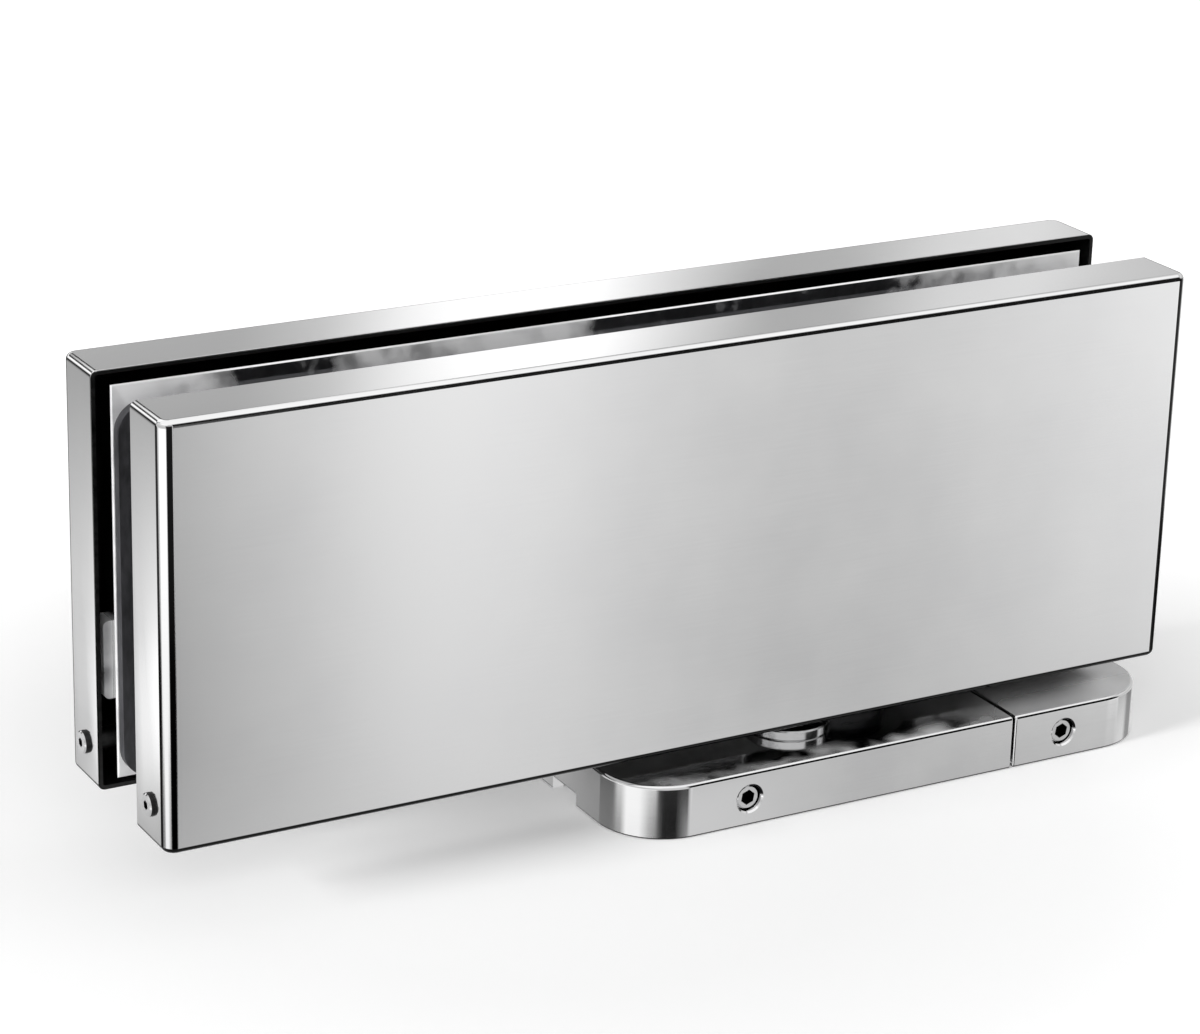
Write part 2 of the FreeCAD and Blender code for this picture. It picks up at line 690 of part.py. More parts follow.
def make_valves():
    """Speed valve screws in the heel end: a plain shank, a needle tip and a hex key socket."""
    shank = "(Dim.valve_radius - Dim.running_clearance)"
    for name, height in (("closing_valve", VALVE_HIGH), ("latching_valve", VALVE_LOW)):
        valve = turned(name, [
            ("0", "-Dim.valve_length"),
            ("Dim.valve_tip_radius", "-Dim.valve_length"),
            (shank, "-Dim.valve_length + Dim.valve_tip_length"),
            (shank, "0"),
            ("0", "0"),
        ])
        pocket(valve, hexagon(valve, "XY", "0", "Dim.valve_key_radius"), "Dim.valve_key_depth")
        valve.Placement.Rotation = FreeCAD.Rotation(Z_UP, X_UP)
        place(valve, x=CORE_END, z=height)
        keep(valve)


# Piston, rollers and springs


def make_piston():
    """Yoke piston: a window for cam and rollers, a slot for the shaft, ring grooves, spring seats."""
    rim = "(Dim.bore_radius - Dim.spring_seat_rim)"
    floor = "(%s - Dim.ring_groove_depth)" % PISTON_RADIUS
    groove_out = "(%s - Dim.ring_groove_inset)" % PISTON_END
    groove_in = "(%s - Dim.ring_groove_width)" % groove_out
    half = [
        (SPRING_SEAT, "0"), (SPRING_SEAT, rim), (PISTON_END, rim), (PISTON_END, PISTON_RADIUS),
        (groove_out, PISTON_RADIUS), (groove_out, floor), (groove_in, floor), (groove_in, PISTON_RADIUS),
    ]
    mirrored = [(opposite(x), r) for x, r in half[::-1]]
    piston = turned("yoke_piston", half + mirrored, along="X")
    sketch = rectangle(piston, "XZ", "0", opposite(WINDOW_END), WINDOW_END,
                       opposite(WINDOW_SIDE), WINDOW_SIDE)
    pocket(piston, sketch, ACROSS_BORE, both=True)
    sketch = rectangle(piston, "XY", "0", opposite(SLOT_END), SLOT_END, opposite(SLOT_SIDE), SLOT_SIDE)
    pocket(piston, sketch, ACROSS_BORE, both=True)
    ends = [(opposite(SLOT_END), "0"), (SLOT_END, "0")]
    for end in ends:
        pocket(piston, circles(piston, "XY", "0", [end], SLOT_SIDE), ACROSS_BORE, both=True)
    pins = [("-Dim.cam_mean_radius", "0"), ("Dim.cam_mean_radius", "0")]
    pocket(piston, circles(piston, "XY", "0", pins, "Dim.roller_pin_radius + Dim.seat_clearance"),
           "Dim.roller_pin_length", both=True)
    sketch = circles(piston, "YZ", PISTON_END, [("-Dim.check_hole_offset", "0")], "Dim.check_hole_radius")
    pocket(piston, sketch, "Dim.yoke_end + Dim.over_cut")
    place(piston, z=AXIS)
    keep(piston)

    inner = "(%s + Dim.seat_clearance)" % floor
    outer = "(Dim.bore_radius - Dim.face_clearance)"
    width = "(Dim.ring_groove_width - 2 * Dim.face_clearance)"
    band = ring("piston_ring", inner, outer, "-%s / 2" % width, "%s / 2" % width)
    middle = (number(groove_out) + number(groove_in)) / 2
    height = number(AXIS)
    keep(group("piston_seals", band, [(-middle, 0, height, X_UP), (middle, 0, height, X_UP)]))
    ball = Part.makeSphere(dim("check_ball_radius"))
    x = (number(SPRING_SEAT) + number(WINDOW_END)) / 2
    keep(solid("check_ball", ball, FreeCAD.Placement(
        FreeCAD.Vector(x, -dim("check_hole_offset"), height), FreeCAD.Rotation())))


def make_rollers():
    """Two rollers on pins pressed into the piston."""
    height = number(AXIS)
    pin_end = "Dim.roller_pin_length / 2"
    pin = turned("roller_pin", [
        ("0", opposite(pin_end)), ("Dim.roller_pin_radius", opposite(pin_end)),
        ("Dim.roller_pin_radius", pin_end), ("0", pin_end)])
    mean = dim("cam_mean_radius")
    keep(group("roller_pins", pin, [(-mean, 0, height, Z_UP), (mean, 0, height, Z_UP)]))
    half = "Dim.cam_thickness / 2"
    for name, sign in (("roller_left", -1), ("roller_right", 1)):
        roller = ring(name, "Dim.roller_pin_radius + Dim.running_clearance", "Dim.roller_radius",
                      opposite(half), half)
        place(roller, x=signed(sign, "Dim.cam_mean_radius"), z=AXIS)
        keep(roller)


def make_springs():
    """Closing springs of flat wire between the piston's seats and the plugs."""
    radius = dim("spring_mean_radius")
    half_width = dim("spring_wire_width") / 2
    half_height = dim("spring_wire_height") / 2
    length = number(PLUG_FACE) - number(SPRING_SEAT) - 2 * dim("face_clearance")
    path = Part.makeHelix(dim("spring_pitch"), length - 2 * half_height, radius)
    corners = [(-half_width, -half_height), (half_width, -half_height),
               (half_width, half_height), (-half_width, half_height)]
    points = [FreeCAD.Vector(radius + across, 0, up) for across, up in corners]
    section = Part.makePolygon(points + points[:1])
    coil = Part.Wire(path.Edges).makePipeShell([section], True, True)
    start = number(SPRING_SEAT) + dim("face_clearance") + half_height
    for name, direction in (("spring_left", X_DOWN), ("spring_right", X_UP)):
        base = FreeCAD.Vector(direction.x * start, 0, number(AXIS))
        keep(solid(name, coil.copy(), FreeCAD.Placement(base, FreeCAD.Rotation(Z_UP, direction))))


# Clamp plates, gaskets and covers, front (-1) and rear (1)


def make_clamp_plate(name, sign):
    """L-shaped plate that presses its gasket on the glass, around the housing's core."""
    body = new_body(name)
    inner_x = "(-%s - Dim.body_clearance)" % CORE_END
    inner_z = "(%s + Dim.body_clearance)" % CORE_TOP
    corners = [(PLATE_TOE, PLATE_LOW), (inner_x, PLATE_LOW), (inner_x, inner_z), (PLATE_HEEL, inner_z),
               (PLATE_HEEL, PLATE_TOP), (PLATE_TOE, PLATE_TOP)]
    start = on_xz(sign, PLATE_FACE, PLATE_BACK)
    pad(body, outline(body, "XZ", start, corners), "Dim.plate_thickness")
    face = sign * number(PLATE_FACE)
    ridge = edges_where(body.Shape, lambda p: abs(p.y - face) < NEAR)
    soften(body, "Chamfer", ridge, "Dim.plate_chamfer")
    lug_low = "(%s + Dim.lug_bottom)" % COVER_BOTTOM
    lug_start = on_xz(sign, "(%s + Dim.lug_recess)" % PLATE_FACE,
                      "(%s + Dim.lug_recess + Dim.lug_depth)" % PLATE_FACE)
    sketch = rectangle(body, "XZ", lug_start, "%s - Dim.lug_reach" % PLATE_TOE,
                       "%s + Dim.over_cut" % PLATE_TOE, lug_low, "%s + Dim.lug_height" % lug_low)
    pad(body, sketch, "Dim.lug_depth")
    lug_end = number("%s - Dim.lug_reach" % PLATE_TOE)
    lug_levels = [number(lug_low), number(lug_low) + dim("lug_height")]
    lug_corners = edges_where(body.Shape, lambda p: abs(p.x - lug_end) < NEAR
                              and min(abs(p.z - z) for z in lug_levels) < NEAR)
    soften(body, "Fillet", lug_corners, "Dim.lug_corner_radius")
    back = on_xz(sign, PLATE_BACK, PLATE_BACK)
    holes = circles(body, "XZ", back, CLAMP_PLACES, "Dim.clamp_screw_radius + Dim.screw_clearance")
    pocket(body, holes, "Dim.plate_thickness", back=sign > 0)
    if sign < 0:
        seats = circles(body, "XZ", back, CLAMP_PLACES, "Dim.clamp_head_radius + Dim.rim_gap")
        pocket(body, seats, "%s - %s" % (PLATE_BACK, CLAMP_HEAD_SEAT))
    sketch = circles(body, "YZ", PLATE_TOE, [(signed(sign, "Dim.cover_screw_offset"), COVER_SCREW_Z)],
                     "Dim.cover_screw_radius + Dim.screw_clearance")
    pocket(body, sketch, "Dim.cover_screw_length", back=True)
    return keep(body)


def make_gasket(name, sign):
    """Soft pad between plate and glass, with rounded outer corners."""
    body = new_body(name)
    toe = "(%s + Dim.gasket_margin)" % PLATE_TOE
    heel = "(%s - Dim.gasket_margin)" % PLATE_HEEL
    low = "(%s + Dim.gasket_margin)" % PLATE_LOW
    top = "(%s - Dim.gasket_top_margin)" % PLATE_TOP
    inner_x = "(%s - Dim.body_clearance)" % SHOULDER_TOE
    inner_z = "(%s + Dim.body_clearance)" % SHOULDER_TOP
    corners = [(toe, low), (inner_x, low), (inner_x, inner_z), (heel, inner_z), (heel, top), (toe, top)]
    start = on_xz(sign, "Dim.glass_thickness / 2", PLATE_FACE)
    pad(body, outline(body, "XZ", start, corners), "Dim.gasket_thickness")
    left = number(toe)
    ends = [number(low), number(top)]
    rounded = edges_where(body.Shape, lambda p: abs(p.x - left) < NEAR
                          and min(abs(p.z - end) for end in ends) < NEAR)
    soften(body, "Fillet", rounded, "Dim.gasket_corner_radius")
    return keep(body)


def make_clamp_screws():
    """Cap screws from the front plate through the shoulder into the rear plate."""
    length = "(%s + %s - Dim.clamp_screw_spare)" % (CLAMP_HEAD_SEAT, PLATE_BACK)
    screw = turned("clamp_screw", [
        ("0", opposite(length)), ("Dim.clamp_screw_radius", opposite(length)),
        ("Dim.clamp_screw_radius", "0"), ("Dim.clamp_head_radius", "0"),
        ("Dim.clamp_head_radius", "Dim.clamp_head_height"), ("0", "Dim.clamp_head_height"),
    ])
    sketch = hexagon(screw, "XY", "Dim.clamp_head_height", "Dim.clamp_key_radius")
    pocket(screw, sketch, "Dim.clamp_key_depth")
    seat = -number(CLAMP_HEAD_SEAT)
    spots = [(number(x), seat, number(z), Y_DOWN) for x, z in CLAMP_PLACES]
    return keep(group("clamp_screws", screw, spots))


def make_cover(name, sign):
    """Polished hollow cover, open towards the glass, with a screw hole in each end."""
    body = new_body(name)
    near, far = signed(sign, RIM), signed(sign, COVER_FACE)
    sketch = rectangle(body, "XY", COVER_BOTTOM, TOE, HEEL, near, far)
    pad(body, sketch, "Dim.cover_height")
    face = sign * number(COVER_FACE)
    rim = sign * number(RIM)
    toe, heel = number(TOE), number(HEEL)
    inner_face = signed(sign, "(%s - Dim.cover_wall)" % COVER_FACE)
    beyond = signed(sign, "(%s - Dim.over_cut)" % RIM)
    sketch = rectangle(body, "XY", "%s + Dim.cover_wall" % COVER_BOTTOM, "%s + Dim.cover_wall" % TOE,
                       "%s - Dim.cover_wall" % HEEL, beyond, inner_face)
    pocket(body, sketch, "Dim.cover_height - 2 * Dim.cover_wall", back=True)
    wall = dim("cover_wall")
    depth = number(inner_face)
    upright = edges_where(body.Shape, lambda p: abs(p.y - depth) < NEAR
                          and min(abs(p.x - toe - wall), abs(p.x - heel + wall)) < NEAR)
    soften(body, "Fillet", upright, "Dim.cover_side_radius - Dim.cover_wall")
    upright = edges_where(body.Shape, lambda p: abs(p.y - face) < NEAR
                          and min(abs(p.x - toe), abs(p.x - heel)) < NEAR)
    soften(body, "Fillet", upright, "Dim.cover_side_radius")
    low = number(COVER_BOTTOM)
    levels = [low, low + dim("cover_height")]
    skirts = edges_where(body.Shape, lambda p: min(abs(p.z - z) for z in levels) < NEAR)
    skirts = [n for n in skirts if abs(body.Shape.getElement(n).CenterOfMass.y - rim) > NEAR]
    soften(body, "Fillet", skirts, "Dim.cover_top_radius")
    hole = [(signed(sign, "Dim.cover_screw_offset"), COVER_SCREW_Z)]
    for end, back in ((TOE, True), (HEEL, False)):
        sketch = circles(body, "YZ", end, hole, "Dim.cover_screw_radius + Dim.screw_clearance")
        pocket(body, sketch, "Dim.cover_wall + Dim.over_cut", back=back)
    sketch = circles(body, "XY", COVER_BOTTOM, [("0", "0")], "Dim.spindle_cutout_radius")
    pocket(body, sketch, "Dim.cover_wall + Dim.over_cut", back=True)
    return keep(body)


def make_cover_screws():
    """Screws that hold the covers, one standing a little proud of each end of each cover."""
    screw = make_socket_screw("cover_screw", "Dim.cover_screw_radius", "Dim.cover_screw_length",
                              "Dim.cover_key_radius", "Dim.cover_key_depth")
    stand = dim("cover_screw_stand")
    height = number(COVER_SCREW_Z)
    spots = []
    for y in (-dim("cover_screw_offset"), dim("cover_screw_offset")):
        spots.append((number(TOE) - stand, y, height, X_DOWN))
        spots.append((number(HEEL) + stand, y, height, X_UP))
    return keep(group("cover_screws", screw, spots))


def write_nodes():
    """Checks every object, then writes one file for each node."""
    doc.recompute()
    for item in doc.Objects:
        if "Invalid" in item.State or "Error" in item.State:
            raise ValueError("%s is %s" % (item.Name, item.State))
    for node in nodes:
        if node.Shape.isNull() or not node.Shape.isValid():
            raise ValueError("%s has no sound shape" % node.Label)
    os.makedirs("parts", exist_ok=True)
    for node in nodes:
        node.Shape.exportStep(os.path.join("parts", node.Label + ".step"))


make_base_plate()
make_long_cover()
make_base_cover("base_cover_short", "(Dim.base_split + Dim.split_gap / 2)", BASE_END, 1)
make_base_side_screws()
make_base_top_screws()
make_cam_spindle()
make_bearings()
make_housing()
make_end_plugs()
make_valves()
make_piston()
make_rollers()
make_springs()
make_clamp_plate("front_clamp_plate", -1)
make_clamp_plate("rear_clamp_plate", 1)
make_gasket("front_gasket", -1)
make_gasket("rear_gasket", 1)
make_clamp_screws()
make_cover("front_cover", -1)
make_cover("rear_cover", 1)
make_cover_screws()
write_nodes()
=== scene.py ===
"""Looks of the hydraulic patch hinge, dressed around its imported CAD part.

Metres, in the CAD frame: the origin is on the spindle's axis at floor level, +X runs to the heel,
+Y to the rear cover and +Z up.
"""
import bmesh
import bpy
import json
import math
from mathutils import Matrix, Vector


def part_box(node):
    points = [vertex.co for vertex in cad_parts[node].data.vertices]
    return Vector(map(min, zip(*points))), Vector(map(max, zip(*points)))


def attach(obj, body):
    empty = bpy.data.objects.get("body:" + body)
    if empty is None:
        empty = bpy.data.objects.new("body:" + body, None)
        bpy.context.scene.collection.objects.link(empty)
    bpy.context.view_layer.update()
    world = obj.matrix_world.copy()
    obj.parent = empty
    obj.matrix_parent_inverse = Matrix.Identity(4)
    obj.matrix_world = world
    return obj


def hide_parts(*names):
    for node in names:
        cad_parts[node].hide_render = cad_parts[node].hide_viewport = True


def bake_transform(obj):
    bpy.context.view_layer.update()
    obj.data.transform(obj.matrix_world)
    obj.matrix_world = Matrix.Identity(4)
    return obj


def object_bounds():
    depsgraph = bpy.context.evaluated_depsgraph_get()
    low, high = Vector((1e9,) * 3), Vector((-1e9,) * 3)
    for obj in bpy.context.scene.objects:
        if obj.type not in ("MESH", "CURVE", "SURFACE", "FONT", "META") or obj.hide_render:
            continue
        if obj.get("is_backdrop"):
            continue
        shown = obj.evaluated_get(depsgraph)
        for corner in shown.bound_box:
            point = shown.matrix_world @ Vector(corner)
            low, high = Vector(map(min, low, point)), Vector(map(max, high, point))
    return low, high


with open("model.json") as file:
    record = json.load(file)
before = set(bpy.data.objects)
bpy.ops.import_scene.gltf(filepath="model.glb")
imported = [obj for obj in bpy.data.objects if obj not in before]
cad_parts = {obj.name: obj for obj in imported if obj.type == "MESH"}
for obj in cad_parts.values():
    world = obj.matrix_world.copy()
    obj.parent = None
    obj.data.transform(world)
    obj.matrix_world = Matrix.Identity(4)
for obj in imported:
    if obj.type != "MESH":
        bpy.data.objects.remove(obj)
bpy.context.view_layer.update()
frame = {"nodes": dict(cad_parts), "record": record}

scene = bpy.context.scene
scene.view_settings.view_transform = "Standard"

MM = 0.001

# Camera of the photograph
VIEW_AZIMUTH = -29.83
VIEW_ELEVATION = 20.15
VIEW_ROLL = 1.63
VIEW_DISTANCE = 648.9 * MM
VIEW_TARGET = Vector((-50.7, 0.0, 52.4)) * MM
VIEW_LENS = 111.66
SENSOR_WIDTH = 36.0

# Covers and base shells, as the CAD part has them
COVER_WALL = 0.8 * MM
COVER_SIDE_RADIUS = 2.2 * MM
COVER_EDGE_RADIUS = 1.2 * MM
COVER_HOLE_RADIUS = 2.05 * MM
COVER_RIM_BEVEL = 0.2 * MM
SPINDLE_CUTOUT_RADIUS = 13.0 * MM
BASE_WALL = 2.2 * MM
BASE_ROOF = 2.1 * MM
BASE_CORNER_RADIUS = 12.0 * MM
BASE_EDGE_RADIUS = 0.65 * MM
BASE_FOOT_RADIUS = 0.35 * MM
SPLIT_EDGE_RADIUS = 0.4 * MM
SIDE_HOLE_RADIUS = 2.5 * MM
SIDE_HOLE_CHAMFER = 0.3 * MM
SPINDLE_OPENING_RADIUS = 10.3 * MM
TOP_HOLE_RADIUS = 3.05 * MM
NOTCH_WIDTH = 8.6 * MM
NOTCH_HEIGHT = 2.65 * MM

# Small lengths of the modelling itself
OVER_CUT = 1.0 * MM
NEAR = 0.01 * MM
WELD = 0.001 * MM

# Roundness of the meshes
SIDE_SEGMENTS = 10
EDGE_SEGMENTS = 6
RIM_SEGMENTS = 2
CORNER_SEGMENTS = 20
HOLE_SIDES = 64
SCREW_SIDES = 48
KEY_SIDES = 6
SMOOTH_ANGLE = math.radians(32)

# Screws, and the turn of their key sockets in degrees
COVER_SCREW = {"Radius": 2.0 * MM, "Length": 10.0 * MM, "Bevel": 0.25 * MM,
               "Key Radius": 0.85 * MM, "Key Depth": 2.0 * MM}
SIDE_SCREW = {"Radius": 2.3 * MM, "Length": 9.0 * MM, "Bevel": 0.3 * MM,
              "Key Radius": 1.45 * MM, "Key Depth": 2.2 * MM}
TOP_SCREW = {"Radius": 3.0 * MM, "Length": 8.0 * MM, "Head Radius": 7.8 * MM, "Head Height": 1.85 * MM,
             "Dish Radius": 7.0 * MM, "Dish Depth": 0.8 * MM, "Bevel": 0.25 * MM,
             "Key Radius": 2.9 * MM, "Key Depth": 3.0 * MM}
COVER_SCREW_OFFSET = 14.1 * MM
SIDE_SCREW_X = (-32.8 * MM, 34.8 * MM)
TOP_SCREW_PLACE = (15.9 * MM, 9.1 * MM)
TOE_KEY_TURN = 12
HEEL_KEY_TURN = 40
FRONT_KEY_TURN = 20
REAR_KEY_TURN = 50
TOP_KEY_TURN = 15

# Flat wire of the closing springs
WIRE_WIDTH = 3.2 * MM
WIRE_HEIGHT = 2.4 * MM
WIRE_BEVEL = 0.35 * MM
SPRING_PITCH = 4.2 * MM
TURN_SEGMENTS = 48


# Meshes


def new_object(name, mesh):
    """A new object at the origin."""
    thing = bpy.data.objects.new(name, mesh)
    scene.collection.objects.link(thing)
    return thing


def object_from(name, work):
    """An object made of a finished bmesh."""
    mesh = bpy.data.meshes.new(name)
    work.to_mesh(mesh)
    work.free()
    return new_object(name, mesh)


def settle(thing):
    """Turns an object's modifiers into its plain mesh."""
    evaluated = thing.evaluated_get(bpy.context.evaluated_depsgraph_get())
    mesh = bpy.data.meshes.new_from_object(evaluated)
    mesh.name = thing.name
    thing.modifiers.clear()
    thing.data = mesh
    return thing


def paint(thing, *materials):
    """Gives an object its materials, with the first of them on all faces."""
    thing.data.materials.clear()
    for material in materials:
        thing.data.materials.append(material)


def weld(work):
    """Merges doubled points and turns all faces outwards."""
    bmesh.ops.remove_doubles(work, verts=work.verts[:], dist=WELD)
    bmesh.ops.recalc_face_normals(work, faces=work.faces[:])


def carve(thing, cutters):
    """Cuts helper solids out of an object and deletes them."""
    for cutter in cutters:
        modifier = thing.modifiers.new(cutter.name, "BOOLEAN")
        modifier.operation = "DIFFERENCE"
        modifier.solver = "EXACT"
        modifier.object = cutter
    settle(thing)
    for cutter in cutters:
        bpy.data.meshes.remove(cutter.data)
    work = bmesh.new()
    work.from_mesh(thing.data)
    weld(work)
    work.to_mesh(thing.data)
    work.free()


def even_normals(thing):
    """Smooth rounded edges beside faces that stay truly flat."""
    for face in thing.data.polygons:
        face.use_smooth = True
    thing.data.set_sharp_from_angle(angle=SMOOTH_ANGLE)
    modifier = thing.modifiers.new("even_normals", "WEIGHTED_NORMAL")
    modifier.mode = "FACE_AREA"
    modifier.weight = 100
    modifier.keep_sharp = True
    return settle(thing)


def lies_at(points, axis, level):
    """Whether all points of a face or an edge are at one level of an axis."""
    return all(abs(getattr(point.co, axis) - level) < NEAR for point in points)


def bevel(work, edges, radius, segments=EDGE_SEGMENTS):
    """Rounds some edges."""
    bmesh.ops.bevel(work, geom=edges, offset=radius, segments=segments, profile=0.5, affect="EDGES")


def skin(work, rings):
    """Closes a row of rings of points into a solid."""
    work.faces.new(rings[0][::-1])
    work.faces.new(rings[-1])
    for ring, following in zip(rings, rings[1:]):
        for step in range(len(ring)):
            ahead = (step + 1) % len(ring)
            work.faces.new((ring[step], ring[ahead], following[ahead], following[step]))


def turned(name, start, axis, stations):
    """A closed round cutter through (distance along its axis, radius) stations."""
    work = bmesh.new()
    turn = Matrix.Translation(start) @ axis.to_track_quat("Z", "Y").to_matrix().to_4x4()
    rings = []
    for distance, radius in stations:
        ring = []
        for step in range(HOLE_SIDES):
            angle = 2 * math.pi * step / HOLE_SIDES
            place = Vector((radius * math.cos(angle), radius * math.sin(angle), distance))
            ring.append(work.verts.new(turn @ place))
        rings.append(ring)
    skin(work, rings)
    return object_from(name, work)


def rod(name, start, end, radius):
    """A closed round cutter from one point to another."""
    return turned(name, start, end - start, [(0.0, radius), ((end - start).length, radius)])


def box_mesh(low, high):
    """A closed box between two corners."""
    work = bmesh.new()
    size = Matrix.Diagonal((*(high - low), 1.0))
    bmesh.ops.create_cube(work, size=1.0, matrix=Matrix.Translation((low + high) / 2) @ size)
    return work


def cover_shell(name, cad_name):
    """Hollow polished cover with rounded edges, open towards the glass."""
    low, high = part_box(cad_name)
    front = low.y < 0
    face_y, rim_y = (low.y, high.y) if front else (high.y, low.y)
    work = box_mesh(low, high)
    rim = [f for f in work.faces if lies_at(f.verts, "y", rim_y)]
    bmesh.ops.delete(work, geom=rim, context="FACES_ONLY")
    upright = [e for e in work.edges if lies_at(e.verts, "y", face_y)
               and abs(e.verts[0].co.x - e.verts[1].co.x) < NEAR]
    bevel(work, upright, COVER_SIDE_RADIUS, SIDE_SEGMENTS)
    skirts = []
    for level in (low.z, high.z):
        skirts += [e for e in work.edges
                   if lies_at(e.verts, "z", level) and not lies_at(e.verts, "y", rim_y)]
    bevel(work, skirts, COVER_EDGE_RADIUS)
    shell = object_from(name, work)
    wall = shell.modifiers.new("wall", "SOLIDIFY")
    wall.thickness = COVER_WALL
    wall.offset = -1
    wall.use_even_offset = True
    outer_count = len(shell.data.vertices)
    settle(shell)
    work = bmesh.new()
    work.from_mesh(shell.data)
    lip = [e for e in work.edges
           if lies_at(e.verts, "y", rim_y) and all(v.index < outer_count for v in e.verts)]
    bevel(work, lip, COVER_RIM_BEVEL, RIM_SEGMENTS)
    work.to_mesh(shell.data)
    work.free()
    screw_low, screw_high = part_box("cover_screws")
    height = (screw_low.z + screw_high.z) / 2
    side = COVER_SCREW_OFFSET * (-1 if front else 1)
    cutters = []
    for label, x, inward in (("toe_hole", low.x, 1), ("heel_hole", high.x, -1)):
        start = Vector((x - inward * OVER_CUT, side, height))
        end = Vector((x + inward * (COVER_WALL + OVER_CUT), side, height))
        cutters.append(rod(label, start, end, COVER_HOLE_RADIUS))
    below = Vector((0, 0, low.z - OVER_CUT))
    inside = Vector((0, 0, low.z + OVER_CUT + COVER_WALL))
    cutters.append(rod("spindle_cutout", below, inside, SPINDLE_CUTOUT_RADIUS))
    carve(shell, cutters)
    even_normals(shell)
    # Inner faces and the flat rim get near-black steel: painted shade inside the cover
    paint(shell, FINISHES["polished_steel"], FINISHES["shade_dark_sheet_steel"])
    heart = (low + high) / 2
    for face in shell.data.polygons:
        inward = face.normal.dot(face.center - heart) < 0
        on_rim = abs(face.center.y - rim_y) < NEAR
        face.material_index = 1 if inward or on_rim else 0
    return shell


def rounded_half(split_x, end_x, side, radius):
    """Outline of half a base: square at the split and round at its end, anticlockwise."""
    outward = 1 if end_x > split_x else -1
    centre_x = end_x - outward * radius
    centre_y = side - radius
    points = [Vector((split_x, -outward * side, 0))]
    for corner_y, start in ((-outward * centre_y, -90), (outward * centre_y, 0)):
        for step in range(CORNER_SEGMENTS + 1):
            angle = math.radians(start + 90 * step / CORNER_SEGMENTS)
            x = centre_x + outward * radius * math.cos(angle)
            y = corner_y + outward * radius * math.sin(angle)
            points.append(Vector((x, y, 0)))
    points.append(Vector((split_x, outward * side, 0)))
    return points


def prism(name, points, low_z, high_z, split_x=None):
    """A closed upright prism. With a split, all its outer edges are rounded."""
    work = bmesh.new()
    ring = [work.verts.new((p.x, p.y, low_z)) for p in points]
    base = work.faces.new(ring)
    raised = bmesh.ops.extrude_face_region(work, geom=[base])
    tops = [item for item in raised["geom"] if isinstance(item, bmesh.types.BMVert)]
    bmesh.ops.translate(work, verts=tops, vec=(0, 0, high_z - low_z))
    bmesh.ops.recalc_face_normals(work, faces=work.faces[:])
    if split_x is not None:
        top = [e for e in work.edges
               if lies_at(e.verts, "z", high_z) and not lies_at(e.verts, "x", split_x)]
        bevel(work, top, BASE_EDGE_RADIUS)
        split = [e for e in work.edges
                 if lies_at(e.verts, "x", split_x) and not lies_at(e.verts, "z", low_z)]
        bevel(work, split, SPLIT_EDGE_RADIUS)
        foot = [e for e in work.edges if lies_at(e.verts, "z", low_z)]
        bevel(work, foot, BASE_FOOT_RADIUS)
    return object_from(name, work)


def base_shell(name, cad_name):
    """Polished shell over one end of the floor plate, with its holes and cable notch."""
    low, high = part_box(cad_name)
    long_half = abs(low.x) > abs(high.x)
    split_x, end_x = (high.x, low.x) if long_half else (low.x, high.x)
    outward = -1 if long_half else 1
    side = high.y
    shell = prism(name, rounded_half(split_x, end_x, side, BASE_CORNER_RADIUS), low.z, high.z, split_x)
    inner = rounded_half(split_x - outward * OVER_CUT, end_x - outward * BASE_WALL, side - BASE_WALL,
                         BASE_CORNER_RADIUS - BASE_WALL)
    cutters = [prism("cavity", inner, low.z - OVER_CUT, high.z - BASE_ROOF)]
    screw_x = SIDE_SCREW_X[0] if long_half else SIDE_SCREW_X[1]
    middle = (low.z + high.z) / 2
    stations = [
        (0.0, SIDE_HOLE_RADIUS + 2 * SIDE_HOLE_CHAMFER),
        (2 * SIDE_HOLE_CHAMFER, SIDE_HOLE_RADIUS),
        (BASE_WALL + OVER_CUT, SIDE_HOLE_RADIUS),
    ]
    for sign in (-1, 1):
        lip = Vector((screw_x, sign * (side + SIDE_HOLE_CHAMFER), middle))
        cutters.append(turned("side_hole", lip, Vector((0, -sign, 0)), stations))
    ends = sorted((end_x + outward * OVER_CUT, end_x - outward * (BASE_WALL + OVER_CUT)))
    notch_low = Vector((ends[0], -NOTCH_WIDTH / 2, low.z - OVER_CUT))
    notch_high = Vector((ends[1], NOTCH_WIDTH / 2, low.z + NOTCH_HEIGHT))
    cutters.append(object_from("cable_notch", box_mesh(notch_low, notch_high)))
    if long_half:
        up = Vector((0, 0, high.z + OVER_CUT))
        down = Vector((0, 0, high.z - BASE_ROOF - OVER_CUT))
        cutters.append(rod("spindle_opening", down, up, SPINDLE_OPENING_RADIUS))
        for sign in (-1, 1):
            place = Vector((sign * TOP_SCREW_PLACE[0], sign * TOP_SCREW_PLACE[1], 0))
            cutters.append(rod("top_hole", place + down, place + up, TOP_HOLE_RADIUS))
    carve(shell, cutters)
    even_normals(shell)
    paint(shell, FINISHES["base_steel"])
    return shell


